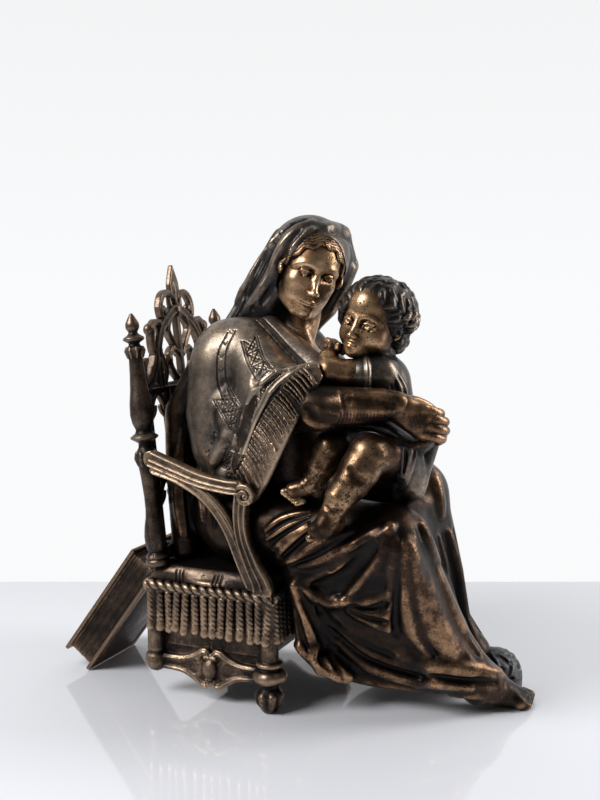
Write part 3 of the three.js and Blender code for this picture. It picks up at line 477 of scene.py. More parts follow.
class Room:
    """How full each cell of a coarse grid is."""

    def __init__(self, low, high, step):
        self.low, self.step = np.array(low, float), step
        self.n = np.ceil((np.array(high, float) - self.low) / step).astype(int) + 1
        self.full = np.zeros(self.n, np.float32)

    def fill(self, field):
        corners = np.array([[i, j, k] for i in (0, 1) for j in (0, 1) for k in (0, 1)])
        corners = field.world(field.low + corners * (field.n - 1) * field.step)
        first = np.maximum(0, np.floor((corners.min(0) - self.low) / self.step).astype(int))
        last = np.minimum(self.n, np.ceil((corners.max(0) - self.low) / self.step).astype(int) + 1)
        grids = np.meshgrid(*[np.arange(a, b) for a, b in zip(first, last)], indexing="ij")
        cells = np.stack([g.ravel() for g in grids], 1)
        if len(cells) == 0:
            return
        d = field.at(field.local(self.low + cells * self.step))
        share = np.clip(0.5 - d / self.step, 0, 1)
        i, j, k = cells.T
        self.full[i, j, k] = np.maximum(self.full[i, j, k], share)

    def blurred(self, radius):
        """The same grid after two box blurs."""
        a = self.full.astype(np.float64)
        r = max(1, int(round(radius / self.step)))
        for _ in range(2):
            for axis in range(3):
                edge = [(0, 0)] * 3
                edge[axis] = (r + 1, r)
                total = np.cumsum(np.pad(a, edge), axis)
                size = a.shape[axis]
                upper = np.take(total, np.arange(2 * r + 1, 2 * r + 1 + size), axis)
                lower = np.take(total, np.arange(0, size), axis)
                a = (upper - lower) / (2 * r + 1)
        return a

    def read(self, blurred, points):
        p = np.clip((points - self.low) / self.step, 0, self.n - 1.001)
        base = np.floor(p).astype(int)
        return sampled(blurred, base, p - base)


room = Room([-190, -118, -6], [292, 112, 448], 2.4)
made = []


def mesh_from(name, points, faces):
    """A mesh from arrays, whose faces all have the same number of corners."""
    mesh = bpy.data.meshes.new(name)
    size = faces.shape[1]
    mesh.vertices.add(len(points))
    mesh.vertices.foreach_set("co", np.ascontiguousarray(points, np.float32).ravel())
    mesh.loops.add(faces.size)
    mesh.loops.foreach_set("vertex_index", np.ascontiguousarray(faces, np.int32).ravel())
    mesh.polygons.add(len(faces))
    mesh.polygons.foreach_set("loop_start", np.arange(0, faces.size, size, dtype=np.int32))
    mesh.update(calc_edges=True)
    mesh.validate()
    return mesh


# Places where the bronze is painted darker (minus) or lighter: partly patina that varies over the casting,
# partly painted shade and painted light, as on the knee and the far side of the skirt, darkened, and on the
# shin, the shoulder and the seat board in the cords' shadow, lightened. Each place gives its centre, reach
# in millimetres and amount
PAINTED_LIGHT_AND_PATINA = [
    ([172, -84, 160], 30, -0.24),
    ([196, -52, 106], 30, 0.16),
    ([207, -42, 68], 28, 0.20),
    ([190, 44, 150], 36, -0.26),
    ([204, 34, 92], 36, -0.28),
    ([264, 27, 8], 22, -0.75),
    ([20, -75, 320], 34, 0.08),
    ([117, -104, 177], 16, -0.95),
    ([84, -79, 203], 13, -0.40),
    ([58, -79, 8], 18, -0.70),
    ([58, 79, 8], 18, -0.70),
    ([-28, -76, 56], 28, 0.35),
    ([28, -76, 56], 28, 0.35),
    ([-32, -82, 30], 24, -0.32),
    ([0, -84, 30], 22, -0.26),
    ([32, -82, 30], 24, -0.32),
    ([58, -82, 34], 15, -0.30),
    ([-58, -82, 32], 15, -0.30),
    ([0, -86, 118], 70, -0.08),
]


def cast(name, field, faces, material, node):
    """Makes a field's skin into a piece of about so many triangles, which stands for a CAD node."""
    reach = 3 * field.step
    grid = openvdb.FloatGrid(reach)
    grid.copyFromArray(np.clip(field.value, -reach, reach))
    points, quads = grid.convertToQuads(0.0)
    room.fill(field)
    mesh = mesh_from(name, points * field.step + field.low, quads)
    piece = bpy.data.objects.new(name, mesh)
    bpy.context.scene.collection.objects.link(piece)
    wanted = faces / (2 * len(quads)) / (COARSE * COARSE)
    if wanted < 1:
        modifier = piece.modifiers.new("thin", "DECIMATE")
        modifier.ratio = wanted
        modifier.use_collapse_triangulate = True
        bpy.context.view_layer.update()
        graph = bpy.context.evaluated_depsgraph_get()
        thin = bpy.data.meshes.new_from_object(piece.evaluated_get(graph))
        piece.modifiers.clear()
        piece.data = thin
        bpy.data.meshes.remove(mesh)
        mesh = thin
        mesh.name = name
    co = np.zeros(len(mesh.vertices) * 3, np.float32)
    mesh.vertices.foreach_get("co", co)
    co = co.reshape(-1, 3).astype(float)
    # Ridges and edges: how much of the close surroundings is outside the form
    fine = np.zeros(len(co))
    size = max(1.5, 1.5 * field.step)
    for e in np.eye(3):
        for s in (-size, size):
            fine += np.clip(field.at(co + s * e), -size, size) / size / 6
    write(mesh, "fine", fine)
    world = field.world(co)
    # Painted light and shade, mixed with patina: each place in the table above makes the bronze lighter or
    # darker there
    write(mesh, "painted_light_and_patina", sum(amount * np.exp(-((world - place) ** 2).sum(axis=1) / size ** 2)
                              for place, size, amount in PAINTED_LIGHT_AND_PATINA))
    mesh.vertices.foreach_set("co", ((world + MIDDLE) / 1000).astype(np.float32).ravel())
    if np.linalg.det(field.axes) < 0:
        mesh.flip_normals()
    mesh.polygons.foreach_set("use_smooth", np.ones(len(mesh.polygons), bool))
    mesh.update()
    mesh.materials.append(material)
    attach(piece, "root")
    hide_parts(node)
    made.append((mesh, world))
    print("piece", name, "faces", len(mesh.polygons), "quads", len(quads))
    return piece


def write(mesh, name, values):
    attribute = mesh.attributes.new(name, "FLOAT", "POINT")
    attribute.data.foreach_set("value", np.ascontiguousarray(values, np.float32))


def write_openness():
    """How open each place is, within two distances in millimetres."""
    for name, radius in (("near", 6.0), ("wide", 16.0)):
        blurred = room.blurred(radius)
        for mesh, world in made:
            write(mesh, name, np.clip(1 - 2 * room.read(blurred, world), -1, 1))


# Bronze

WEAR = {"fine": 0.95, "near": 0.85, "wide": 0.5}  # how much each attribute counts
BLACK = (0.012, 0.01, 0.009, 1)
PIT_DEPTH = 0.0006


def bronze(name, dark, brown, gold, level, speckle, rough, pits):
    """Patinated bronze: dark in the hollows, rubbed to copper and gold where it stands out.

    dark, brown and gold are its colours, level is how worn it is, speckle how strong its black spots are,
    rough its roughness and pits how strong the unevenness of its skin is.
    """
    material = bpy.data.materials.new(name)
    material.use_nodes = True
    tree = material.node_tree
    shader = tree.nodes["Principled BSDF"]
    shader.inputs["Metallic"].default_value = 0.86
    shader.inputs["Specular IOR Level"].default_value = 0.5

    def node(kind, **values):
        made_node = tree.nodes.new(kind)
        for key, value in values.items():
            setattr(made_node, key, value)
        return made_node

    def put(socket, value):
        if isinstance(value, (int, float)):
            socket.default_value = value
        else:
            tree.links.new(value, socket)

    def sums(operation, a, b, c=None, clamp=False):
        n = node("ShaderNodeMath", operation=operation, use_clamp=clamp)
        put(n.inputs[0], a)
        put(n.inputs[1], b)
        if c is not None:
            put(n.inputs[2], c)
        return n.outputs[0]

    def attribute(which):
        return node("ShaderNodeAttribute", attribute_name=which).outputs["Fac"]

    place = node("ShaderNodeTexCoord").outputs["Object"]

    def noise(scale, detail, roughness=0.6):
        n = node("ShaderNodeTexNoise")
        tree.links.new(place, n.inputs["Vector"])
        n.inputs["Scale"].default_value = scale
        n.inputs["Detail"].default_value = detail
        n.inputs["Roughness"].default_value = roughness
        return n.outputs["Fac"]

    clouds = sums("SUBTRACT", noise(26, 3), 0.5)
    blots = sums("SUBTRACT", noise(110, 4, 0.7), 0.5)
    grain = noise(900, 3, 0.7)
    wear_and_painted_light = level
    for which, weight in WEAR.items():
        wear_and_painted_light = sums("MULTIPLY_ADD", attribute(which), weight, wear_and_painted_light)
    # Adds painted light and shade, with some real patina variation, from the per-piece table of lighter and
    # darker places
    wear_and_painted_light = sums("ADD", attribute("painted_light_and_patina"), wear_and_painted_light)
    wear_and_painted_light = sums("MULTIPLY_ADD", clouds, 0.9, wear_and_painted_light)
    wear_and_painted_light = sums("MULTIPLY_ADD", blots, 0.9, wear_and_painted_light)
    wear_and_painted_light = sums("MULTIPLY_ADD", sums("SUBTRACT", grain, 0.5), 0.45, wear_and_painted_light, clamp=True)
    ramp = node("ShaderNodeValToRGB")
    tree.links.new(wear_and_painted_light, ramp.inputs["Fac"])
    stops = ramp.color_ramp.elements
    stops[0].position, stops[0].color = 0.12, (*dark, 1)
    stops[1].position, stops[1].color = 0.98, (*gold, 1)
    middle = stops.new(0.48)
    middle.color = (*brown, 1)
    spots = node("ShaderNodeTexVoronoi", feature="F1")
    tree.links.new(place, spots.inputs["Vector"])
    spots.inputs["Scale"].default_value = 380
    spots.inputs["Randomness"].default_value = 1
    size = sums("MULTIPLY_ADD", noise(45, 4), 1.1, -0.34)
    black = sums("LESS_THAN", spots.outputs["Distance"], size)
    black = sums("MULTIPLY", black, speckle)
    mix = node("ShaderNodeMix", data_type="RGBA")
    tree.links.new(black, mix.inputs["Factor"])
    tree.links.new(ramp.outputs["Color"], mix.inputs["A"])
    mix.inputs["B"].default_value = BLACK
    tree.links.new(mix.outputs["Result"], shader.inputs["Base Color"])
    uneven = sums("MULTIPLY_ADD", noise(70, 4, 0.65), 0.2, rough - 0.1)
    uneven = sums("MULTIPLY_ADD", wear_and_painted_light, -0.1, sums("MULTIPLY_ADD", black, 0.15, uneven))
    tree.links.new(uneven, shader.inputs["Roughness"])
    hammer = sums("MULTIPLY_ADD", noise(240, 5, 0.7), 0.7, sums("MULTIPLY", grain, 0.3))
    bump = node("ShaderNodeBump")
    bump.inputs["Strength"].default_value = pits
    bump.inputs["Distance"].default_value = PIT_DEPTH
    tree.links.new(sums("MULTIPLY_ADD", black, -0.6, hammer), bump.inputs["Height"])
    tree.links.new(bump.outputs["Normal"], shader.inputs["Normal"])
    return material


# The mother's face bronze: lighter than the child's, painted light that stands in for light the lamps don't
# give her face, which is turned down and away from the key lamp
FACE_PAINTED_LIGHTER = bronze("bronze_face_painted_lighter", (0.026, 0.015, 0.010), (0.23, 0.125, 0.064), (0.66, 0.44, 0.26),
              0.50, 0.8, 0.38, 0.28)
CHILD_FACE = bronze("bronze_child_face", (0.020, 0.012, 0.008), (0.16, 0.085, 0.042), (0.60, 0.39, 0.22),
                    0.38, 0.9, 0.36, 0.28)
ARM_GOLD = bronze("bronze_arm", (0.018, 0.011, 0.007), (0.15, 0.080, 0.040), (0.60, 0.39, 0.22),
                  0.40, 0.9, 0.36, 0.28)
SKIN = bronze("bronze_skin", (0.014, 0.009, 0.006), (0.070, 0.036, 0.019), (0.52, 0.33, 0.19),
              0.26, 0.85, 0.36, 0.3)
SLEEVE = bronze("bronze_sleeve", (0.010, 0.008, 0.006), (0.036, 0.021, 0.013), (0.34, 0.19, 0.10),
                0.18, 0.6, 0.38, 0.28)
CLOTH = bronze("bronze_cloth", (0.010, 0.008, 0.007), (0.050, 0.027, 0.016), (0.46, 0.27, 0.15),
               0.23, 0.8, 0.37, 0.28)
VEIL = bronze("bronze_veil", (0.020, 0.018, 0.017), (0.070, 0.060, 0.054), (0.30, 0.23, 0.17),
              0.27, 0.35, 0.38, 0.22)
SHAWL = bronze("bronze_shawl", (0.030, 0.026, 0.023), (0.165, 0.130, 0.102), (0.42, 0.33, 0.24),
               0.34, 0.45, 0.42, 0.25)
FRINGE = bronze("bronze_fringe", (0.008, 0.006, 0.005), (0.036, 0.025, 0.018), (0.30, 0.21, 0.145),
                0.14, 0.5, 0.44, 0.25)
HAIR = bronze("bronze_hair", (0.014, 0.013, 0.013), (0.046, 0.040, 0.036), (0.22, 0.17, 0.13),
              0.16, 0.5, 0.38, 0.25)
CHAIR = bronze("bronze_chair", (0.018, 0.014, 0.012), (0.095, 0.066, 0.048), (0.44, 0.31, 0.21),
               0.20, 0.6, 0.46, 0.4)
BACK = bronze("bronze_back", (0.009, 0.008, 0.0075), (0.028, 0.021, 0.017), (0.17, 0.12, 0.086),
              0.06, 0.4, 0.44, 0.35)
PAGES = bronze("bronze_book", (0.014, 0.011, 0.010), (0.050, 0.034, 0.024), (0.22, 0.145, 0.095),
               0.18, 0.4, 0.40, 0.3)
STOOL = bronze("bronze_stool", (0.030, 0.030, 0.032), (0.075, 0.075, 0.078), (0.20, 0.19, 0.18),
               0.20, 0.3, 0.5, 0.8)


# Heads: a middle, a height from chin to crown, and the ways forward and up

class Head:
    """Where a head is and how it is turned. Places on it are given in shares of its height."""

    def __init__(self, at, size, forward, lean):
        self.at, self.size = np.array(at, float), size
        f = np.array(forward, float) / np.linalg.norm(forward)
        u = np.array(lean, float) - f * (np.array(lean, float) @ f)
        u /= np.linalg.norm(u)
        self.axes = np.array([f, np.cross(u, f), u])

    def on(self, forward, left, up):
        """A place on the head, in the sculpting frame."""
        return self.at + self.size * (np.array([forward, left, up]) @ self.axes)

    def blob(self, place, radii):
        return blob(self.on(*place), np.array(radii) * self.size, self.axes)

    def local(self, point):
        return (np.array(point, float) - self.at) @ self.axes.T


MOTHER = Head([67, -14, 393], 84, [0.62, -0.76, -0.2], [0.25, 0.1, 0.96])
CHILD = Head([138.5, -32, 350], 73.5, [-0.2, -0.97, 0.12], [0.27, 0.23, 0.93])


class Face:
    """Strokes on a head's own field, in shares of the head's height."""

    def __init__(self, head, step, low, high):
        self.size = head.size
        self.field = Field(np.array(low) * head.size, np.array(high) * head.size, step, head.at, head.axes)

    def blob(self, place, radii, k=0.0, taking=False):
        form = blob(np.array(place) * self.size, np.array(radii) * self.size)
        self.field.change(form, k * self.size, taking)

    def path(self, stations, k=0.0, taking=False):
        line = curve(stations, gap=0.02) * self.size
        self.field.change(path(line), k * self.size, taking)


def add_features(face, young):
    """A calm, regular face: eyes at half height, the nose down to a quarter, the mouth below it.

    young runs from 0, a grown woman, to 1, a child of about a year, whose face sits lower and rounder.
    """
    eye_z = -0.005 - 0.085 * young
    base_z = -0.205 - 0.055 * young
    mouth_z = -0.303 - 0.045 * young
    face.blob([-0.03, 0, 0.12], [0.43, 0.345, 0.37])
    face.blob([0.12, 0, -0.13], [0.275, 0.265 + 0.035 * young, 0.33], 0.07)
    face.blob([0.1, 0, 0.14], [0.285 + 0.02 * young, 0.27, 0.25], 0.05)
    face.blob([0.312, 0, -0.42], [0.082, 0.085, 0.078], 0.07)
    face.blob([0.29, 0, mouth_z + 0.01], [0.105, 0.14, 0.12], 0.06)
    for side in (-1, 1):
        cheek = [0.17, side * (0.125 + 0.03 * young), -0.25]
        face.blob([0.205, side * 0.16, eye_z - 0.105], [0.12, 0.108, 0.11], 0.06)
        face.blob(cheek, [0.15, 0.115 + 0.025 * young, 0.14], 0.06)
        jaw = [[-0.01, 0.25, -0.16, 0.05], [0.08, 0.215, -0.31, 0.055], [0.25, 0.09, -0.425, 0.055]]
        face.path(mirror(side, jaw), 0.07)
        # Hollow between the brow and the nose, then the brow
        face.blob([0.425, side * 0.12, eye_z + 0.01], [0.085, 0.095, 0.058], 0.05, True)
        face.blob([0.4, side * 0.065, eye_z], [0.05, 0.028, 0.04], 0.035, True)
        r = 0.02 - 0.008 * young
        brow = [[0.368, 0.04, eye_z + 0.07, r], [0.362, 0.11, eye_z + 0.098, r],
                [0.322, 0.18, eye_z + 0.088, r], [0.255, 0.238, eye_z + 0.04, r * 0.8]]
        face.path(mirror(side, brow), 0.05)
    tip_x = 0.458 - 0.022 * young
    bridge = [[0.352, 0, eye_z + 0.09, 0.034], [0.368, 0, eye_z + 0.01, 0.027 + 0.006 * young],
              [0.41 - 0.012 * young, 0, base_z + 0.095, 0.029 + 0.005 * young],
              [tip_x - 0.008, 0, base_z + 0.03, 0.032]]
    face.path(bridge, 0.04)
    face.blob([tip_x, 0, base_z + 0.02], [0.034, 0.036, 0.03], 0.028)
    for side in (-1, 1):
        face.blob([0.42 - 0.01 * young, side * 0.041, base_z + 0.012], [0.036, 0.026, 0.027], 0.024)
        face.blob([tip_x - 0.016, side * 0.02, base_z - 0.018], [0.02, 0.011, 0.011], 0.01, True)
    # Lips under a shallow groove, a line between them and a hollow above the chin
    wide = 0.098 - 0.016 * young
    face.path([[0.425, 0, base_z - 0.02, 0.009], [0.428, 0, mouth_z + 0.032, 0.011]], 0.025, True)
    for side in (-1, 1):
        upper = [[0.398, 0, mouth_z + 0.012, 0.015], [0.4, 0.02, mouth_z + 0.017, 0.0155],
                 [0.388, 0.05, mouth_z + 0.011, 0.013], [0.36, wide * 0.9, mouth_z + 0.003, 0.008]]
        lower = [[0.398, 0, mouth_z - 0.02, 0.019], [0.392, 0.03, mouth_z - 0.018, 0.0175],
                 [0.366, wide * 0.8, mouth_z - 0.004, 0.01]]
        line = [[0.421, 0, mouth_z - 0.003, 0.0048], [0.414, 0.035, mouth_z - 0.001, 0.005],
                [0.394, 0.065, mouth_z + 0.001, 0.005], [0.372, wide, mouth_z + 0.006, 0.006]]
        face.path(mirror(side, upper), 0.016)
        face.path(mirror(side, lower), 0.018)
        face.path(mirror(side, line), 0.008, True)
    face.blob([0.425, 0, mouth_z - 0.062], [0.022, 0.05, 0.02], 0.035, True)
    drop = 0.05 * young
    for side in (-1, 1):
        ball = np.array([0.288, side * (0.122 + 0.012 * young), eye_z])
        add_eye(face, side, ball, 1 + 0.22 * young)
        ear = [[0.02, 0.33, 0.03, 0.014], [-0.05, 0.355, 0.05, 0.014], [-0.085, 0.355, -0.01, 0.013],
               [-0.05, 0.345, -0.09, 0.014], [-0.005, 0.325, -0.12, 0.018]]
        face.path(mirror(side, [[x, y, z - drop, r] for x, y, z, r in ear]), 0.012)
        face.blob([-0.03, side * 0.325, -0.03 - drop], [0.05, 0.03, 0.08], 0.02)
        face.blob([-0.03, side * 0.36, -0.02 - drop], [0.025, 0.02, 0.045], 0.012, True)


def add_eye(face, side, ball, scale):
    """Ball, upper and lower lid and the crease over the upper one, on an axis turned a little outward."""
    turn = math.radians(13)
    ahead = np.array([math.cos(turn), side * math.sin(turn), 0])
    out = np.array([-math.sin(turn), side * math.cos(turn), 0])
    deep, wide, tall = np.array([0.064, 0.08, 0.06]) * scale
    face.blob(ball, [deep, wide, tall], 0.012)

    def arc(rise, lift, r, reach=0.068, tilt=0.006):
        stations = []
        for share in np.linspace(-1, 1, 9):
            a = share * reach * scale
            h = rise * scale * (1 - abs(share) ** 2.2) + tilt * share
            depth = deep * math.sqrt(max(0.05, 1 - (a / wide) ** 2 - (h / tall) ** 2)) + lift
            stations.append([*(ball + ahead * depth + out * a + [0, 0, h]), r * scale])
        return stations

    # Upper lid in three rolls, lower lid in two
    face.path(arc(0.044, -0.001, 0.0085), 0.008)
    face.path(arc(0.034, 0.0015, 0.0085), 0.006)
    face.path(arc(0.024, 0.004, 0.0082), 0.006)
    face.path(arc(-0.024, 0.0, 0.0068), 0.007)
    face.path(arc(-0.035, -0.003, 0.0075, 0.06), 0.012)
    # Creases over and under the lids, and a shallow pupil
    face.path(arc(0.056, 0.006, 0.0055, 0.07), 0.012, True)
    face.path(arc(-0.047, 0.003, 0.006, 0.055), 0.02, True)
    face.blob(ball + ahead * (deep + 0.002), [0.007 * scale, 0.011 * scale, 0.011 * scale], 0.004, True)


def lock(face, start, end, bow, waves, swing, r, lift, k):
    """A strand of hair over the skull from start to end; bow lifts its middle and swing makes it wavy."""
    start, end = np.array(start, float), np.array(end, float)
    side = np.cross(end - start, start + end + [1e-3, 0, 0])
    side /= max(np.linalg.norm(side), 1e-6)
    stations = []
    for t in np.linspace(0, 1, 4 * max(2, waves) + 3):
        p = start + (end - start) * t + np.array(bow) * 4 * t * (1 - t)
        stations.append(p + side * swing * math.sin(2 * math.pi * waves * t))
    stations = face.field.settled(np.array(stations) * face.size)
    stations = stations + face.field.slope(stations, 1.2) * lift * face.size
    t = np.linspace(0.03, 0.97, len(stations))
    radii = r * face.size * (0.45 + 0.55 * np.sqrt(np.clip(4 * t * (1 - t), 0, 1)))
    face.field.add(path(np.column_stack([stations, radii])), k * face.size)


def on_head(head, stations):
    """Stations [x, y, z, radius] of the sculpting frame, in shares of a head's height."""
    return [[*head.local(s[:3]) / head.size, s[3] / head.size] for s in stations]


def mother_head():
    face = Face(MOTHER, 0.4, [-0.55, -0.5, -1.02], [0.56, 0.5, 0.56])
    add_features(face, 0.0)
    # Neck, shoulders, and the muscle from behind the ear to the pit of the neck
    neck = [[60, -6, 372, 17], [60, -8, 352, 16], [52, -10, 330, 18.5], [44, -12, 312, 24]]
    shoulders = [[22, -30, 318, 20], [50, -28, 317, 20], [74, -22, 304, 18]]
    muscle = [[50, -20, 374, 4], [61, -23, 348, 3.4], [72, -22, 326, 3]]
    for stations, k in ((neck, 0.06), (shoulders, 0.1), (muscle, 0.09)):
        face.path(on_head(MOTHER, stations), k)
    return face.field


def mother_hair():
    face = Face(MOTHER, 0.42, [-0.5, -0.5, -0.3], [0.56, 0.5, 0.56])
    face.blob([-0.045, 0, 0.13], [0.445, 0.358, 0.382])
    face.blob([0.4, 0, -0.2], [0.42, 0.29, 0.5], 0.03, True)
    face.blob([0.22, 0, -0.5], [0.5, 0.5, 0.36], 0.02, True)
    for side in (-1, 1):
        for i in range(9):
            t = i / 8
            start = [0.37 - 0.2 * t, side * 0.012, 0.335 + 0.12 * t]
            end = [0.15 - 0.22 * t, side * 0.345, -0.03 + 0.09 * t]
            lock(face, start, end, [0.02, side * 0.03, 0.05], 3, 0.016, 0.025, 0.010, 0.006)
        for i in range(3):
            x = 0.17 - 0.05 * i
            curl = [[x, 0.325, 0.05, 0.02], [x - 0.02, 0.345, 0.0, 0.021],
                    [x + 0.01, 0.345, -0.05, 0.018], [x - 0.015, 0.335, -0.1, 0.01]]
            face.path(mirror(side, curl), 0.01)
    return face.field


def child_head():
    face = Face(CHILD, 0.4, [-0.6, -0.56, -0.72], [0.5, 0.56, 0.56])
    add_features(face, 1.0)
    face.blob([0.2, 0, -0.42], [0.12, 0.15, 0.07], 0.06)
    neck = [[139, -28, 326, 16], [140, -28, 308, 16], [142, -26, 296, 20]]
    face.path(on_head(CHILD, neck), 0.05)
    return face.field


def tuft(face, theta, phi, length, bend, r, lift):
    """Stations of a curved tuft that lies on the head, from a place given by angles round the crown."""
    crown = np.array([-0.32, 0.0, 0.95])
    crown /= np.linalg.norm(crown)
    front, left = np.array([0.95, 0.0, 0.32]), np.array([0, 1, 0])
    middle = np.array([-0.1, 0, 0.08])
    t = np.linspace(0, 1, 9)
    stations = []
    for share in t:
        tilt = theta + length * share
        turn = phi + bend * share * share / max(0.4, math.sin(tilt))
        aside = math.cos(turn) * front + math.sin(turn) * left
        stations.append(middle + 0.46 * (math.cos(tilt) * crown + math.sin(tilt) * aside))
    stations = face.field.settled(np.array(stations) * face.size)
    radii = r * np.sqrt(np.clip(1.1 - t, 0.05, 1)) * np.minimum(1, 0.5 + 1.6 * t)
    rise = (lift + 0.012 * np.sin(math.pi * t))[:, None] * face.size
    return np.column_stack([stations + face.field.slope(stations, 1.2) * rise, radii * face.size])


def child_hair():
    face = Face(CHILD, 0.4, [-0.64, -0.6, -0.52], [0.52, 0.6, 0.6])
    face.blob([-0.09, 0, 0.1], [0.43, 0.42, 0.4])
    face.blob([-0.2, 0, -0.2], [0.27, 0.36, 0.2], 0.05)
    face.blob([0.06, -0.2, 0.03], [0.27, 0.25, 0.3], 0.04)
    face.blob([0.07, 0, 0.2], [0.3, 0.34, 0.27], 0.05)
    face.blob([0.43, 0.03, -0.21], [0.37, 0.35, 0.46], 0.04, True)
    face.blob([0.1, 0.02, -0.5], [0.46, 0.5, 0.3], 0.03, True)
    tufts = []
    for row in range(10):
        theta = 0.24 + 0.2 * row
        count = max(5, round(2 * math.pi * math.sin(theta) * 0.45 / 0.12))
        for i in range(count):
            phi = 2 * math.pi * (i + 0.5 * (row % 2)) / count + 0.25 * math.sin(3.7 * row)
            if theta > 1.1 + 1.3 * ((1 - math.cos(phi)) / 2) ** 0.5:
                continue
            side = 1 if math.sin(2.2 * phi + 1.3 * row) > 0 else -1
            bend = side * (0.32 + 0.1 * math.sin(5 * i + row))
            length = 0.4 + 0.06 * math.sin(1.7 * i + row)
            tufts.append(tuft(face, theta, phi, length, bend, 0.05, -0.034 + 0.007 * (i % 2)))
    for stations in tufts:
        face.field.add(path(stations), 0.012 * face.size)
    return face.field


# Gown: body, mantle, skirt, the hidden arm and the foot

def leaned(point):
    """From the chair back's own frame, which leans, to the sculpting frame."""
    x, y, z = point
    return [x * math.cos(LEAN) - z * math.sin(LEAN) + BACK_FOOT[0], y,
            x * math.sin(LEAN) + z * math.cos(LEAN) + BACK_FOOT[2]]


LEAN_AXES = np.array([[math.cos(LEAN), 0, math.sin(LEAN)], [0, 1, 0], [-math.sin(LEAN), 0, math.cos(LEAN)]])


def clear_of_chair(field):
    """Takes away what would stand inside the chair's seat, back, posts and arms."""
    gap = 0.4
    front = PANEL["thick"] / 2 + 2 + gap
    panel = [leaned(p) for p in ((front, 0, 0), (front, 50, 0), (front, 0, 100))]
    top = [[0, 0, 355], [1, 0, 355], [0, 1, 355]]
    low, high = [-130, -112, 105], [-20, 100, 370]
    field.cut(bounded(leaned((front - 20, 0, 50)), low, high, 0, [panel, top]))
    d, w = SEAT["half_depth"] + 4.4, SEAT["half_width"] + 4.4
    field.cut(box([-120, -w, 0], [d, w, SEAT["top"] + gap], 1))
    field.cut(box([-120, -w - 7, 60], [70, w + 7, 111], 1))
    for side in (-1, 1):
        field.cut(path([[*leaned((0, side * SEAT["half_width"], 0)), 13.5],
                        [*leaned((0, side * SEAT["half_width"], 215)), 13.5]]))
        near = sorted((side * (ARM["y"] - ARM["thick"] / 2 - gap), side * 120))
        field.cut(box([-120, near[0], 80], [49, near[1], 232], 0.5))
        field.cut(box([47, near[0], 80], [69, near[1], 150], 0.5))


# Folds seen in the picture: picture points, half width and height in millimetres, minus for a groove
SKIRT_FOLDS = [
    # The thigh's lower edge and the sharp folds that fall from the near knee
    ([[298, 579], [315, 579], [332, 573], [353, 558], [372, 543], [389, 527]], 3.0, 2.5),
    ([[391, 526], [378, 552], [361, 576], [341, 602]], 3.4, 5.5),
    ([[386, 537], [366, 562], [338, 592]], 6.0, -3.0),
    ([[372, 548], [345, 573], [312, 588]], 5.0, -3.5),
    ([[297, 586], [313, 595], [328, 601], [341, 603]], 3.6, 5.5),
    ([[344, 602], [360, 603], [378, 598], [390, 593]], 2.6, 3.5),
    ([[397, 541], [394, 573], [392, 602], [390, 628]], 2.6, 3.2),
    ([[401, 541], [399, 575], [397, 604], [396, 634]], 4.6, -4.0),
    ([[388, 630], [372, 622], [350, 611]], 2.6, 2.8),
    ([[386, 604], [368, 609], [350, 607]], 3.0, -3.0),
    ([[386, 617], [370, 613], [354, 608]], 1.8, 1.6),
    ([[386, 622], [366, 618], [350, 612]], 1.8, -1.6),
    # Shin side
    ([[402, 545], [405, 581], [411, 625], [426, 652]], 4.5, 3.5),
    ([[409, 560], [414, 600], [422, 634], [436, 655]], 3.4, -1.8),
    ([[411, 548], [424, 590], [436, 628], [452, 656]], 5.0, 1.5),
    ([[420, 530], [438, 576], [456, 622], [478, 656]], 5.0, -1.2),
    ([[436, 475], [440, 496], [442, 514]], 3.0, 2.2),
    ([[422, 521], [430, 540], [438, 559]], 2.8, 1.6),
    # Long folds that sweep to the foot
    ([[318, 606], [330, 622], [352, 640], [384, 655], [420, 668]], 4.0, -5.0),
    ([[325, 614], [344, 630], [367, 646], [397, 659], [430, 668], [470, 672]], 3.4, 3.6),
    ([[330, 630], [346, 646], [366, 660], [394, 671], [430, 680]], 3.4, -4.0),
    ([[341, 642], [353, 652], [372, 667], [391, 675], [426, 683], [470, 688]], 3.0, 3.0),
    ([[338, 655], [352, 669], [374, 681], [410, 688]], 3.2, -3.0),
    ([[400, 655], [430, 664], [466, 668], [500, 672]], 3.6, 3.0),
    ([[432, 676], [462, 680], [496, 682]], 2.6, -2.2),
    ([[344, 684], [382, 689], [430, 693], [480, 697]], 2.2, 1.8),
    # Crumpled cloth beside the chair
    ([[293, 587], [298, 599], [307, 614], [317, 634], [326, 646], [330, 662]], 3.2, 3.4),
    ([[300, 592], [310, 612], [322, 636], [334, 660], [342, 680]], 3.2, -4.0),
    ([[289, 600], [293, 625], [292, 643], [296, 662]], 2.8, 3.0),
    ([[295, 610], [300, 632], [306, 648], [312, 662]], 2.6, -3.4),
    ([[293, 642], [303, 652], [312, 660], [318, 670]], 2.4, 2.8),
    ([[317, 646], [314, 655], [318, 664], [328, 668]], 2.2, 2.6),
    ([[326, 648], [320, 658], [330, 672]], 2.2, -2.6),
    ([[300, 671], [314, 672], [330, 675], [344, 684]], 2.4, 2.2),
]

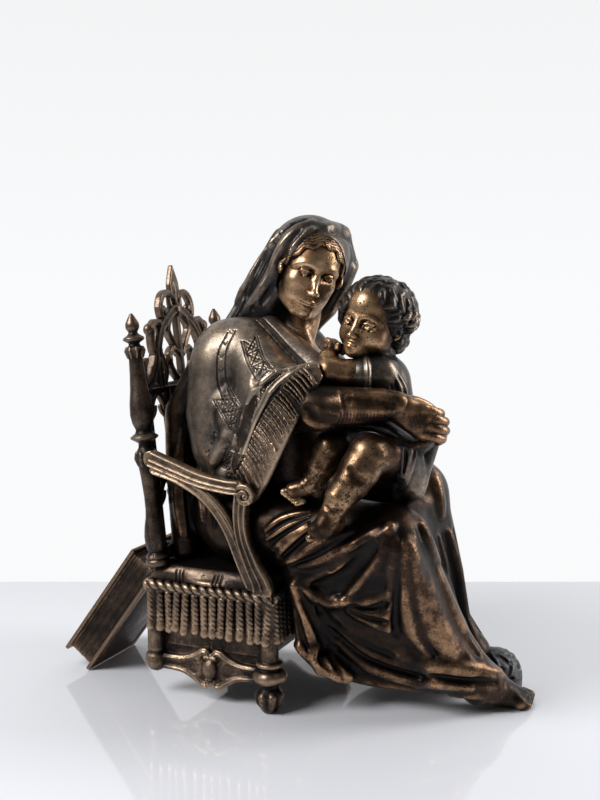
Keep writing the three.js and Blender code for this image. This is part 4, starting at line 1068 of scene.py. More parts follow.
LAP_FOLDS = [
    ([[266, 530], [284, 518], [309, 512]], 2.6, 3.0),
    ([[267, 539], [287, 527], [308, 517]], 2.4, 3.0),
    ([[268, 534], [286, 522], [308, 515]], 1.8, -2.0),
    ([[273, 549], [290, 535], [307, 523]], 2.4, 3.0),
    ([[270, 544], [288, 531], [307, 520]], 1.8, -2.2),
    ([[279, 562], [279, 556], [288, 544], [308, 528]], 2.6, 3.0),
    ([[283, 557], [296, 545], [310, 533]], 2.0, -3.0),
    ([[281, 564], [298, 557], [312, 546], [325, 539]], 2.6, 3.2),
    ([[290, 566], [310, 560], [332, 546], [352, 534]], 2.4, -2.6),
    ([[300, 566], [320, 561], [340, 551], [355, 545]], 3.0, 2.6),
    ([[330, 570], [352, 556], [372, 541]], 2.6, -2.2),
    ([[345, 548], [362, 538], [378, 528]], 3.0, 2.0),
]

MANTLE_FOLDS = [
    ([[222, 384], [210, 400], [201, 425], [198, 455], [200, 490], [203, 520]], 3.2, 4.0),
    ([[213, 392], [204, 412], [196, 440], [193, 470]], 2.4, -2.6),
    ([[228, 392], [216, 420], [210, 452], [212, 490], [214, 525]], 3.4, -3.2),
    ([[200, 400], [190, 425], [184, 460], [183, 500], [186, 535]], 3.2, 3.2),
    ([[194, 420], [188, 450], [187, 490], [190, 528]], 2.2, -2.6),
    ([[182, 430], [177, 465], [176, 500], [181, 535]], 2.6, 2.4),
]


def gown():
    f = Field([-75, -112, -4], [285, 100, 372], 0.85)
    # Hips, trunk and shoulders
    f.add(blob([2, 0, 170], [54, 70, 50]))
    f.add(limb([-4, 0, 185], [4, -4, 285], 50, 46), 14)
    f.add(limb([2, -42, 318], [28, 46, 312], 29, 27), 14)
    f.add(limb([34, -14, 300], [40, -12, 325], 32, 22), 12)
    f.add(limb([46, -24, 262], [62, -10, 190], 34, 36), 14)
    # Mantle down her back, in tall folds that reach the seat
    for i in range(8):
        y = -46 + 13.5 * i
        f.add(path([[-8, 0.8 * y, 320, 16], [-28, 0.9 * y, 300, 14], [-50, y, 262, 13],
                    [-49, 1.05 * y, 200, 13], [-43, 1.1 * y, 132, 13]]), 7)
    # Thighs and shins
    f.add(limb([14, -38, 160], [163, -56, 158], 38, 34), 12)
    f.add(limb([14, 40, 160], [150, 44, 182], 38, 32), 12)
    f.add(path([[163, -56, 158, 32], [201, -19, 67, 23], [228, -2, 32, 15]]), 8)
    f.add(path([[150, 44, 184, 31], [171, 50, 105, 27], [180, 50, 62, 25], [206, 54, 34, 18]]), 8)
    # Skirt: cloth from both thighs to a hem that hangs free of the chair and sweeps to the front foot
    f.add(bounded([140, 0, 90], [60, -95, 10], [245, 90, 190], 14, [
        [[60, 0, 168], [160, 0, 168], [160, 40, 176]],
        [[178, -50, 150], [214, -16, 50], [188, 60, 60]],
        [[60, -84, 150], [180, -84, 150], [100, -42, 32]],
        [[163, -86, 150], [168, -60, 90], [230, -16, 30]],
        [[60, 78, 150], [180, 78, 150], [150, 84, 20]],
        [[70, -50, 46], [70, 50, 46], [108, 0, 17]],
        [[100, -30, 17], [100, 40, 17], [240, 0, 12]],
        [[71, 0, 0], [71, 10, 0], [71, 0, 100]],
    ]), 8)
    f.add(patch([168, -45, 160], [158, 40, 182], [182, 46, 66], 14), 10)
    f.add(patch([168, -45, 160], [204, -18, 66], [182, 46, 66], 14), 10)
    f.add(patch([204, -18, 66], [182, 46, 66], [228, 0, 30], 12), 10)
    # The other arm, behind the child, under the mantle
    f.add(path([[30, 52, 312, 27], [60, 66, 282, 25], [92, 62, 262, 22], [140, 30, 244, 17],
                [168, -2, 248, 13]]), 12)
    # Cloth bunched beside the chair, and the hem drawn over the foot
    f.add(path([[83, -64, 128, 12], [86, -66, 92, 10], [88, -64, 60, 10], [97, -58, 46, 9],
                [120, -50, 34, 8]]), 12)
    f.add(patch([200, -30, 38], [224, -6, 36], [238, 6, 21], 11), 12)
    f.add(path([[222, -12, 34, 13], [234, 2, 28, 12], [240, 9, 23, 11.5]]), 10)
    for pixels, width, depth in SKIRT_FOLDS:
        fold(f, pixels, width * 1.3 if depth > 0 else width, depth, soft=1.4)
    for pixels, width, depth in LAP_FOLDS + MANTLE_FOLDS:
        fold(f, pixels, width, depth, soft=1.2)
    # Unseen folds: far side of the skirt, its front, the mantle's back and the far sleeve
    for i in range(7):
        x = 84 + 16 * i
        line = [[x - 6, 86, 150], [x, 88, 95], [x + 4 + 3 * i, 84, 30]]
        crease(f, line, 4.5, 4.0 if i % 2 else -4.5)
    for i in range(4):
        y = 24 + 10 * i
        line = [[186, 0.9 * y, 150], [200, y, 110], [214 - 2 * i, 1.02 * y, 50]]
        crease(f, line, 4.2, -3.0 if i % 2 else 2.4)
    for i in range(7):
        y = -40 + 13.5 * i
        crease(f, [[-40, 0.9 * y, 300], [-62, y, 255], [-61, 1.05 * y, 200], [-56, 1.1 * y, 140]], 3.0, -4.5)
    shoulder = [[34, 78, 318], [44, 88, 280], [40, 84, 230]]
    wrist = [[120, 40, 266], [134, 52, 250], [128, 48, 228]]
    for i in range(5):
        crease(f, between(shoulder, wrist, i / 4), 3.4, 3.2 if i % 2 else -3.4)
    for i in range(4):
        line = [[20 + 16 * i, 74, 300 - 8 * i], [14 + 14 * i, 82, 230], [6 + 10 * i, 78, 150]]
        crease(f, line, 4.0, 3.6 if i % 2 else -4.0)
    # Front foot: instep, ball and toes, the little toe nearest
    heel = np.array([226, 0.0, 0])
    along, across = np.array([0.80, 0.60, 0]), np.array([0.60, -0.80, 0])

    def sole(ahead, aside, up):
        return list(heel + along * ahead + across * aside + [0, 0, up])

    f.add(limb(sole(2, 0, 19), sole(27, 0, 13), 15, 11), 6)
    f.add(limb(sole(27, 0, 13), sole(43, 0, 8), 11, 8), 6)
    f.add(limb(sole(39, -8, 8.5), sole(37, 9, 7), 8, 6.5), 5)
    for toe in range(5):
        aside = -10.5 + 5.4 * toe
        r = 5.0 - 0.35 * toe
        f.add(path([[*sole(40, aside, 8 - 0.4 * toe), r],
                    [*sole(49.5 - 2.4 * toe, aside, 7.6 - 0.4 * toe), r],
                    [*sole(56.5 - 3 * toe, aside, 4.9 - 0.3 * toe), r * 0.9]]), 1.0)
    clear_of_chair(f)
    f.cut(dome(0.5))
    f.cut(box([60, -112, -30], [290, 100, 0.2], 0))
    return f


def shawl():
    f = Field([-50, -112, 150], [125, 40, 372], 0.6)
    f.add(path([[-2, -40, 300, 35.5], [-2, -40, 262, 38.5], [2, -40, 235, 37.5], [12, -56, 208, 20]]))
    f.add(limb([2, -42, 318], [28, 0, 316], 30, 30), 12)
    f.add(limb([22, -44, 320], [62, -70, 290], 29, 28), 10)
    f.add(limb([30, -58, 262], [62, -72, 286], 30, 27), 12)
    f.add(limb([28, -56, 262], [28, -58, 208], 30, 13), 10)
    f.add(limb([40, -36, 342], [98, -62, 306], 9, 12), 10)
    dress_shawl(f)
    clear_of_chair(f)
    return f


# The shawl's free edge, and where its fringe ends
SHAWL_EDGE = [[102, -79, 311], [84, -92, 307], [62, -99, 298], [46, -96, 274], [32, -84, 240],
              [17, -73, 206]]
FRINGE_EDGE = [[109, -86, 303], [103, -98, 285], [91, -103, 263], [77, -100, 236], [60, -89, 210],
               [45, -78, 193]]


def dress_shawl(f):
    f.add(path([[*p, 3.6] for p in curve(SHAWL_EDGE, gap=6)]), 3)
    band = [[0.75 * a + 0.25 * b for a, b in zip(*pair)] for pair in zip(SHAWL_EDGE, FRINGE_EDGE)]
    f.add(strip(SHAWL_EDGE, band, 2.8), 2)
    # Border between the rolled edge and the fringe
    rolled = [[295, 365], [278, 370], [264, 381], [252, 392], [247, 404], [240, 424], [233, 451], [228, 472]]
    border = [[300, 368], [281, 381], [271, 392], [264, 405], [256, 421], [248, 441], [240, 461], [232, 480]]
    fold(f, rolled, 2.8, 2.8)
    fold(f, shifted(rolled, 2.5, 3), 1.5, -1.8)
    fold(f, border, 1.5, 1.3)
    fold(f, shifted(border, -4, -2.4), 0.9, 0.7)
    # Leaves of the border: a zigzag of short strokes
    count = 34
    inner = curve(shifted(rolled, 4.5, 3), count=count)
    outer = curve(shifted(border, -5.5, -2.6), count=count)
    for i in range(2, count - 1):
        start, end = (inner[i], outer[i + 1]) if i % 2 else (outer[i], inner[i + 1])
        fold(f, [start, (start + end) / 2, end], 0.7, -0.7, even=True, soft=0.4)
    engrave_shawl(f)


def fringe():
    """The fringe under the border: a thin hanging cloth whose strands end unevenly."""
    f = Field([4, -112, 178], [122, -64, 322], 0.5)
    f.add(strip(SHAWL_EDGE, FRINGE_EDGE, 2.6))
    roots = [[303, 367], [297, 370], [289, 376], [278, 391], [271, 398], [262, 413], [254, 428], [248, 444],
             [244, 455], [239, 466], [233, 478]]
    tips = [[315, 381], [308, 394], [298, 413], [288, 427], [281, 440], [273, 455], [267, 468], [261, 481],
            [256, 490], [251, 499], [246, 506]]
    count = 29
    tops, feet = curve(roots, count=count), curve(tips, count=count)
    for i in range(count):
        top = tops[i] + [0, 1]
        foot = feet[i] + [1.2 * math.sin(2.4 * i), 2.4 * math.cos(1.7 * i)]
        strand = np.array([top, (top + foot) / 2 + [0.9, -0.6], foot])
        fold(f, strand, 1.4, 1.4, even=True, soft=0.5)
        fold(f, strand + [-1.45, 0.6], 0.9, -1.9, even=True, soft=0.5)
    fold(f, shifted(roots, -0.8, 0.6), 1.5, -1.6, soft=0.8)
    return f


def engraved(f, pixels, width=0.68, depth=-0.9):
    """A thin even line cut into the skin."""
    fold(f, pixels, width, depth, even=True, soft=0.4)


def engrave_shawl(f):
    # Bands that run down the sleeve to the rolled edge, each with squares between double lines
    bands = [
        ([[243, 341], [249, 363], [258, 379]], [[256, 336], [262, 356], [273, 371]]),
        ([[215, 400], [226, 420], [238, 436]], [[230, 388], [241, 407], [250, 417]]),
        ([[207, 452], [219, 463], [229, 470]], [[214, 432], [226, 446], [236, 452]]),
    ]
    for left, right in bands:
        for shift in (-1.6, 0.6):
            engraved(f, shifted(left, shift, 0))
            engraved(f, shifted(right, -shift, 0))
        a, b = curve(left, count=7), curve(right, count=7)
        for i in range(1, 6, 2):
            p, q, r, s = a[i - 1], b[i - 1], b[i + 1], a[i + 1]
            c = (p + q + r + s) / 4
            engraved(f, [p * 0.85 + c * 0.15, c, r * 0.85 + c * 0.15])
            engraved(f, [q * 0.85 + c * 0.15, c, s * 0.85 + c * 0.15])
            engraved(f, [s, (s + r) / 2, r])
            diamond = [(p + q) / 2, (q + r) / 2, (r + s) / 2, (s + p) / 2]
            for m in range(4):
                start, end = diamond[m] * 0.7 + c * 0.3, diamond[(m + 1) % 4] * 0.7 + c * 0.3
                engraved(f, [start, (start + end) / 2, end], 0.5, -0.6)
    # Collar band along the neck edge, and the band that follows the back of the shoulder
    collar = [[254, 310], [270, 325], [288, 345], [308, 366]]
    rear = [[236, 330], [226, 352], [226, 380], [234, 404], [246, 418]]
    engraved(f, collar, 0.7, -0.8)
    engraved(f, shifted(collar, -5, 4), 0.7, -0.8)
    for i in range(9):
        t = i / 8
        u, v = 252 + 54 * t, 312 + 53 * t + 3 * math.sin(3 * t)
        engraved(f, [[u - 1, v + 4], [u - 2.5, v + 1.5], [u + 1.5, v + 1]], 0.5, -0.5)
    engraved(f, rear, 0.7, -0.8)
    engraved(f, shifted(rear, -8, 2), 0.7, -0.8)
    for u, v in curve(rear, count=8) - [4, -2]:
        engraved(f, [[u - 2.5, v - 2], [u, v + 1], [u + 2, v - 2.5]], 0.5, -0.6)
    # Soft pulls in the cloth
    fold(f, [[262, 372], [250, 392], [242, 420], [234, 450]], 5.0, -3.4)
    fold(f, [[226, 430], [214, 460], [210, 490]], 4.0, 2.4)


def veil():
    f = Field([-52, -58, 228], [124, 64, 446], 0.62)
    f.add(MOTHER.blob([-0.06, 0, 0.13], [0.49, 0.42, 0.43]), 4)
    f.add(path([[62, -4, 404, 34], [38, -6, 375, 32], [20, -8, 345, 29], [-6, -8, 308, 30]]), 8)
    f.add(path([[-6, -8, 308, 30], [-30, -8, 280, 24], [-38, -8, 250, 20]]), 8)
    f.add(path([[82, 10, 414, 19], [92, 15, 396, 12], [86, 17, 376, 9], [74, 18, 356, 8], [61, 18, 344, 8],
                [48, 18, 330, 9], [52, 20, 308, 14]]), 5)
    f.cut(MOTHER.blob([0.62, 0, -0.08], [0.52, 0.38, 0.585]), 3)
    f.cut(MOTHER.blob([0.34, -0.1, -0.56], [0.3, 0.31, 0.3]), 6)
    # Inside of the hood, so that the hair and cheeks stand free of it
    f.cut(MOTHER.blob([0.1, 0, 0.0], [0.36, 0.365, 0.45]), 2)
    dress_veil(f)
    clear_of_chair(f)
    return f


VEIL_FOLDS = [
    ([[326, 226], [338, 226], [349, 231], [358, 240], [363, 250], [363, 262], [358, 273]], 2.6, 1.5),
    ([[312, 230], [304, 235], [297, 243], [290, 254], [284, 266], [280, 280]], 2.4, 2.0),
    ([[334, 232], [344, 235], [352, 242], [356, 250], [357, 262]], 2.2, -1.4),
    ([[316, 232], [304, 239], [296, 250], [289, 263], [284, 276]], 2.0, -2.0),
    ([[312, 222], [297, 228], [284, 242], [276, 258], [270, 275], [258, 295], [246, 312]], 2.6, 2.6),
    ([[300, 232], [289, 243], [280, 258], [274, 272], [264, 290], [252, 308]], 2.0, -2.6),
    ([[294, 241], [284, 256], [278, 270], [268, 287], [256, 303]], 2.2, 2.4),
    ([[291, 248], [283, 262], [277, 275], [270, 290], [262, 302]], 2.0, -2.6),
    ([[304, 220], [288, 228], [275, 245], [266, 262], [256, 280], [244, 300]], 2.0, -2.2),
    ([[290, 226], [276, 240], [266, 256], [256, 273], [246, 290]], 2.4, 2.2),
    ([[278, 235], [268, 250], [258, 266], [248, 284], [240, 300]], 1.8, -2.0),
    ([[272, 243], [261, 262], [250, 282], [240, 300]], 2.2, 2.0),
]


def dress_veil(f):
    for pixels, width, depth in VEIL_FOLDS:
        fold(f, pixels, width * 1.25, depth, soft=1.8)
    # Unseen side and back: folds from the crown to the shoulders
    for i in range(9):
        a = math.radians(60 + 22 * i)
        x, y = math.cos(a), math.sin(a)
        line = [[58 + 24 * x, 30 * y - 4, 428], [46 + 36 * x, 36 * y - 4, 396],
                [24 + 36 * x, 34 * y - 6, 352], [2 + 34 * x, 34 * y - 8, 306]]
        crease(f, line, 2.8, 2.8 if i % 2 else -3.2)


def child_tunic():
    f = Field([52, -114, 158], [212, 24, 345], 0.62)
    f.add(limb([150, -22, 225], [146, -34, 292], 28, 25), 8)
    f.add(limb([134, -44, 303], [147, -27, 301], 16, 15), 10)
    f.add(limb([138, -32, 318], [140, -30, 300], 15, 18), 6)
    f.add(path([[146, -14, 297, 13], [118, 4, 294, 11], [94, 6, 298, 8]]), 5)
    # Tunic over the thigh, and the cloth that hangs from it
    f.add(path([[134, -66, 252, 11], [158, -66, 254, 13], [174, -54, 240, 13], [178, -46, 210, 10]]), 6)
    f.add(strip([[172, -22, 246], [188, -32, 244]], [[166, -36, 196], [178, -40, 204]], 9), 8)
    for pixels, width, depth in TUNIC_FOLDS:
        fold(f, pixels, width, depth)
    # Rim of the near sleeve round the upper arm
    middle, along = np.array([137, -53.5, 303]), np.array([-0.86, -0.5, 0.0])
    across, up = np.array([-along[1], along[0], 0]), np.array([0, 0, 1])
    rim = [[*(middle + 15.6 * (math.cos(a) * across + math.sin(a) * up)), 2.0]
           for a in np.linspace(0, 2 * math.pi, 33)]
    f.add(path(rim), 1.5)
    f.add(limb(middle + along * 1, middle - along * 14, 15.4, 16), 2)
    return f


TUNIC_FOLDS = [
    ([[354, 362], [362, 360], [377, 361]], 1.6, 1.6),
    ([[382, 364], [392, 375], [399, 386], [402, 396]], 1.9, 2.2),
    ([[378, 368], [386, 378], [392, 388]], 1.5, -1.5),
    ([[388, 362], [397, 374], [404, 386], [407, 397]], 1.8, 2.0),
    ([[386, 368], [394, 380], [399, 392]], 1.4, -1.6),
    ([[374, 372], [378, 382], [380, 392]], 1.6, 1.5),
    ([[351, 443], [362, 439], [375, 440], [386, 448], [394, 461], [397, 477]], 2.0, 2.2),
    ([[354, 447], [364, 444], [375, 445], [384, 453], [389, 466]], 1.4, -1.5),
    ([[394, 446], [398, 465], [400, 488]], 1.8, 2.4),
    ([[398, 446], [400, 466], [401, 486]], 1.3, -2.2),
    ([[402, 448], [403, 468], [401, 488]], 1.7, 2.4),
    ([[406, 450], [405, 468], [403, 486]], 1.3, -2.2),
    ([[411, 449], [408, 468], [403, 488]], 1.7, 2.4),
    ([[416, 452], [411, 470], [405, 486]], 1.5, 2.0),
    ([[360, 432], [375, 433], [388, 440], [400, 446]], 1.8, 1.8),
    ([[350, 428], [366, 427], [384, 432], [398, 438]], 1.6, -1.8),
]


def child_arm():
    """The near arm, bent, with a loose fist held up to the mother's neck."""
    f = Field([84, -82, 284], [164, -30, 342], 0.5)
    f.add(path([[144, -48, 303, 14.5], [124, -60, 303, 13.4], [109, -65, 305, 12.2]]))
    f.add(path([[109, -65, 306, 11.8], [105, -58, 314, 10.2], [103.5, -50, 321, 7.8]]), 4)
    f.add(blob([104, -47, 326], [7.4, 6.6, 6.8]), 3)
    for i in range(4):
        root = np.array([101 + 3.2 * i, -50.5 + 1.2 * i, 331 - 1.6 * i])
        tip = root + [4.5, -3.0, -5.5]
        f.add(path([[*root, 2.9], [*(root + [3.6, -2.6, -0.6]), 2.9], [*tip, 2.5]]), 0.7)
    f.add(path([[108, -52, 320, 2.6], [112, -53, 324, 2.7], [112.5, -52, 328, 2.3]]), 1)
    return f


def toes(f, first, across, tip, size, thinner, tip_thinner):
    """Five toes in a row from the big one's root across to the last, each toward its tip."""
    for toe in range(5):
        t = toe / 4
        root = [a + b * t for a, b in zip(first, across)]
        end = [root[0] + tip[0] + 1.5 * t, root[1] + tip[1], root[2] + tip[2]]
        f.add(path([[*root, size - thinner * t], [*end, 3.5 - tip_thinner * t]]), 0.7)


def child_limbs():
    f = Field([72, -114, 158], [192, -10, 270], 0.6)
    # Near leg, bent over the lap
    f.add(path([[158, -42, 232, 23], [156, -66, 240, 20.5], [151, -80, 238, 18.5],
                [146, -86, 228, 16.5]]), 4)
    f.add(path([[146, -86, 228, 16], [140, -91, 216, 15.5], [132, -96, 204, 13], [126, -99, 192, 10],
                [123, -100, 186, 9.2]]), 5)
    f.add(path([[124, -98, 184, 10], [120, -102, 179, 10], [114, -103, 175, 8.6]]), 4)
    f.add(limb([127, -94, 181], [124, -94, 178], 8, 8), 3)
    toes(f, [113.5, -105, 173.5], [9.5, 3.5, 0.5], [-4, -3.6, -3.8], 3.4, 0.6, 0.9)
    fold(f, [[326, 506], [332, 510], [341, 511]], 2.0, -0.8, soft=1.2)
    fold(f, [[350, 470], [356, 478], [364, 482]], 2.4, -0.7, soft=1.4)
    # Far leg beside it
    f.add(path([[136, -38, 238, 19], [124, -56, 246, 17.5], [112, -66, 240, 16], [104, -70, 224, 13],
                [99, -72, 214, 10.5], [96, -73, 209, 9.5]]), 3)
    f.add(path([[96, -73, 209, 9], [89, -77, 205, 8.5], [82, -79, 203, 7.5]]), 4)
    f.add(limb([101, -70, 206], [100, -70, 203], 7.5, 7), 3)
    toes(f, [80, -80.5, 203], [11, -0.5, -9], [-6, -2.4, -1.6], 3.5, 0.7, 1.0)
    return f


def mother_arm():
    f = Field([62, -114, 232], [214, -30, 312], 0.6)
    f.add(limb([82, -74, 268], [104, -83, 276], 16, 19))
    f.add(path([[104, -83, 276, 19], [140, -82, 279, 16], [160, -78, 281, 13.5], [173, -74, 281, 11]]), 6)
    # Wrinkles of the sleeve: a seam, then short pulls along its lower edge
    fold(f, [[339, 391], [341, 402], [343, 413]], 1.2, 0.5, soft=1.4)
    for i in range(14):
        u = 340 + 3.3 * i
        fold(f, [[u + 1, 413 + 0.2 * i], [u + 1, 418], [u - 1, 423 - 0.3 * i]], 0.8, -0.4, soft=1.2)
    fold(f, [[306, 420], [316, 426], [332, 427]], 2.4, 1.0, soft=1.8)
    fold(f, [[308, 408], [318, 416], [334, 419]], 2.6, -1.0, soft=1.8)
    fold(f, [[352, 400], [372, 402], [392, 405]], 3.0, -0.8, soft=1.8)
    return f


def hands():
    f = Field([150, -94, 222], [218, -20, 304], 0.5)
    # Near hand: its back to the camera, the fingers curled round the child's far side
    f.add(path([[160, -78, 281, 11.6], [172, -74, 280, 10.4], [178, -71, 278, 9.6]]), 3)
    knuckles = [[193, -65, 277.5], [196.5, -63, 270.5], [197, -63, 263], [194.5, -64, 256]]
    for i, (x, y, z) in enumerate(knuckles):
        f.add(limb([174, -72, 283 - 3.6 * i], [x - 2, y, z], 7.2, 5.4), 5)
        finger = [[x, y, z, 5.0], [x + 7, y + 4, z - 2.6, 4.4], [x + 10.5, y + 13, z - 5, 4.1],
                  [x + 6.5, y + 22, z - 6.5, 3.5]]
        f.add(path(curve(finger, gap=2.5)), 0.7)
        f.add(blob([x + 0.5, y - 0.8, z], [4.6, 4.6, 4.0]), 1.5)
    thumb = [[172, -66, 283, 6], [182, -56, 282, 5], [190, -48, 278, 4.4], [194, -42, 274, 3.8]]
    f.add(path(curve(thumb, gap=3)), 3)
    # Far hand below it: heel of the hand and fingers under the child's cloth
    f.add(path([[168, -6, 246, 12], [186, -24, 252, 11], [196, -38, 252, 9.5]]), 4)
    for i in range(4):
        finger = [[197 - 3 * i, -44, 254.5 - 3.8 * i, 4.6], [193 - 3 * i, -53, 249 - 3.8 * i, 4.3],
                  [183 - 3 * i, -60, 245 - 3.2 * i, 3.8], [174 - 3 * i, -62, 243 - 2.6 * i, 3.3]]
        f.add(path(curve(finger, gap=2.5)), 0.8)
        f.add(limb([190, -34, 250], finger[0][:3], 8, 5), 3)
    return f


# Chair

def offset_line(stations, share):
    """Stations [u, v, half width] moved sideways by a share of the half width."""
    line = curve(stations)
    run = np.gradient(line[:, :2], axis=0)
    run /= np.linalg.norm(run, axis=1, keepdims=True)
    moved = line.copy()
    moved[:, 0] -= run[:, 1] * line[:, 2] * share
    moved[:, 1] += run[:, 0] * line[:, 2] * share
    return moved


def bead(f, line, half, across, middle, thick, soft, k):
    """A narrow raised line of an even half width along stations."""
    f.add(ribbon([[u, v, half] for u, v, _ in line], across, middle, thick, soft), k)


def around(x, y, turn, stations):
    """Limbs through [distance, z, radius] stations on one side of an upright axis at x, y."""
    c, s = math.cos(turn), math.sin(turn)
    return path([[x + out * c, y + out * s, z, r] for out, z, r in stations])


def bar(f, stations, across, middle, thick, k, beads=True):
    """A flat bar, with a raised bead along both edges of its faces where beads are wanted."""
    f.add(ribbon(curve(stations), across, middle, thick, 1.2), k)
    for share in (-0.72, 0.72) if beads else ():
        bead(f, offset_line(stations, share), 1.25, across, middle, thick + 2.2, 1.6, 0.5)


def sided(half, line):
    """Stations [u, v, half width], or their mirror image when half is minus."""
    return [[half * u, v, r] for u, v, r in line]


def chair_seat():
    f = Field([-76, -98, -0.5], [76, 98, 128.5], 0.62)
    d, w = SEAT["half_depth"], SEAT["half_width"]
    # Seat board, then a rail board with upright reeding
    f.add(box([-d + 4, -w + 3, SEAT["underside"]], [d - 4, w - 3, 106], 1))
    under = SEAT["underside"]
    reed_gap, reed_foot, reed_top = 3.2, 49, 68
    for side in (-1, 1):
        y = side * (w - 2.2)
        for i in range(int(2 * (d - 10) / reed_gap)):
            x = -d + 10 + reed_gap * i
            f.cut(limb([x, y, reed_foot], [x, y, reed_top], 0.8, 0.8), 0.4)
        plate = sorted((side * (w - 6.5), side * (w - 2.6)))
        f.add(box([-d + 2, plate[0], under - 9], [d - 2, plate[1], under + 3], 1), 0.6)
    for i in range(int(2 * (w - 10) / reed_gap)):
        y = -w + 10 + reed_gap * i
        f.cut(limb([d - 3.2, y, reed_foot], [d - 3.2, y, reed_top], 0.8, 0.8), 0.4)
    # Cushion with a rolled edge and groups of stripes across
    f.add(box([-d - 4, -w - 4, 103], [d + 4, w + 4, SEAT["top"] - 0.6], 8.5), 1)
    f.add(blob([0, 0, SEAT["top"] - 12], [d + 10, w + 10, 12.2]), 4)
    edge = (108, 112, 116, 120)
    for x in (-34, -30.5, -27, 6, 9.5, 13, 44, 47.5):
        line = [[x, -w - 6, z] for z in edge]
        line += [[x, y, 130] for y in range(-int(w) + 2, int(w) - 1, 6)]
        line += [[x, w + 6, z] for z in reversed(edge)]
        stroke(f, f.settled(line), 0.9, -1.0, even=True)
    add_fringe(f)
    for side in (-1, 1):
        add_legs(f, side)
        add_rail(f, side)
    return f


def add_fringe(f):
    """A rope round the seat and, under it, a fringe of twisted cords on the sides and the front."""
    x, y = SEAT["half_depth"] + TRIM["out"], SEAT["half_width"] + TRIM["out"]
    rope, cord_top = TRIM["rope_z"], TRIM["cord_top"]
    corners = [[-x, -y], [x, -y], [x, y], [-x, y]]
    rear = 3
    for side in range(4):
        (x0, y0), (x1, y1) = corners[side], corners[(side + 1) % 4]
        length = math.hypot(x1 - x0, y1 - y0)
        out = np.array([(y1 - y0) / length, -(x1 - x0) / length])
        along = np.array([x1 - x0, y1 - y0]) / length
        f.add(twisted([x0, y0, rope], [x1, y1, rope], TRIM["rope_r"] + 1.4, 2, -17.5, 2.4), 0.4)
        f.add(box([min(x0, x1) - 2, min(y0, y1) - 2, 99.5], [max(x0, x1) + 2, max(y0, y1) + 2, 102], 1), 0.5)
        if side == rear:
            continue
        count = round(length / 9.2)
        for i in range(count):
            t = (i + 0.5) / count
            p = np.array([x0 + (x1 - x0) * t, y0 + (y1 - y0) * t]) - out * 0.6
            foot = p + out * (1.0 + 1.0 * math.sin(2.1 * i + side)) + along * 1.5 * math.sin(1.3 * i)
            low_z = TRIM["cord_foot"] + 1.1 * math.sin(2.7 * i + side)
            f.add(twisted([*p, cord_top], [*foot, low_z], 4.0, 3, 13, 0.9, 1.7 * i), 0.3)
            f.add(limb([*foot, low_z + 2], [*(foot + out * 0.5), low_z - 1], 3.7, 4.2), 0.6)


def add_legs(f, side):
    """The front leg, on a lobed foot with a round boss over it, and the plainer back leg."""
    d, y = SEAT["half_depth"], side * SEAT["half_width"]
    foot = [[4.5, 0], [6.5, 1], [7.5, 4], [10, 9], [11.4, 15], [11, 19], [8.5, 23], [8, 25]]
    boss = [[8, 24], [9, 25], [9.4, 27], [13, 28.5], [15.4, 32], [15.4, 35], [13, 38.5], [10, 40], [10, 42],
            [12, 43], [12, 45.5], [9, 46.5]]
    back = [[2, 21.5], [6, 23.5], [9, 27], [10.6, 32], [10, 37.5], [7.5, 41], [8.5, 43.5], [8, 46],
            [8.2, 90], [9, 103]]
    f.add(turned([d, y, 0], foot), 0.5)
    lobe = [[4.4, 2.6, 2.4], [8.6, 10, 3.8], [9.6, 16, 4.2], [6, 21.5, 2.6]]
    for i in range(7):
        f.add(around(d, y, 2 * math.pi * i / 7, lobe), 0.8)
    f.add(turned([d, y, 0], boss), 0.6)
    f.add(blob([d + 2, y + side * 11, 33.5], [7, 5, 6]), 1.5)
    f.add(blob([d + 11, y - side * 1, 33.5], [5, 7, 6]), 1.5)
    f.add(turned([d, y, 0], [[9, 45], [8.2, 48], [8.2, 90], [9, 103]]), 0.6)
    f.add(turned([-d, y, 0], back), 0.6)
    for cx in (-d, d):
        for j in range(-1, 2):
            x = cx + 3.4 * j
            f.cut(limb([x, y + side * 8.6, 48], [x, y + side * 8.6, 64], 0.7, 0.5), 0.4)


def add_rail(f, side):
    """A pierced rail: two scrolls that meet over an acorn boss, and two that meet under it."""
    y = side * SEAT["half_width"]
    upper = [[52, 37, 2.6], [30, 37.5, 2.6], [16, 42, 3.0], [8, 47, 3.2], [3, 45, 3.0], [4, 40.5, 2.4]]
    lower = [[52, 28, 2.6], [30, 27, 2.8], [16, 21, 3.0], [8, 15.5, 3.2], [3, 16.5, 3.0], [4, 21, 2.4]]
    stem = [[52, 32.5, 3.2], [24, 32.5, 3.4], [12, 32.5, 4.2]]
    leaf = [[14, 41, 2.4], [9, 35, 3.2], [9, 29, 3.2], [14, 24, 2.4]]
    for half in (-1, 1):
        for line in (sided(half, upper), sided(half, lower)):
            bar(f, line, 1, y, 6.5, 0.8, beads=False)
            bead(f, curve(line), 0.9, 1, y, 9.0, 1.4, 0.4)
        bar(f, sided(half, stem), 1, y, 5.0, 0.8, beads=False)
        bar(f, sided(half, leaf), 1, y, 6.0, 0.8, beads=False)
    web = [[-50, 32.5, 5.5], [-24, 32.3, 7], [-10, 31.5, 12], [10, 31.5, 12], [24, 32.3, 7], [50, 32.5, 5.5]]
    bar(f, web, 1, y, 4.0, 0.6, beads=False)
    out = side * (SEAT["half_width"] + 3.6)
    f.add(blob([0, out, 32], [7.2, 5.6, 9.2]), 0.6)
    for i in range(-2, 3):
        groove = [[2.6 * i, out + side * 6, 24, 0.5], [3.3 * i, out + side * 6.2, 32, 0.6],
                  [2.6 * i, out + side * 6, 40, 0.5]]
        f.cut(path(groove), 0.3)
    f.add(twisted([-6, out, 42], [6, out, 42], 2.0, 2, 5, 0.6), 0.5)
    f.add(blob([0, out, 23.4], [3, 3, 2.4]), 0.8)


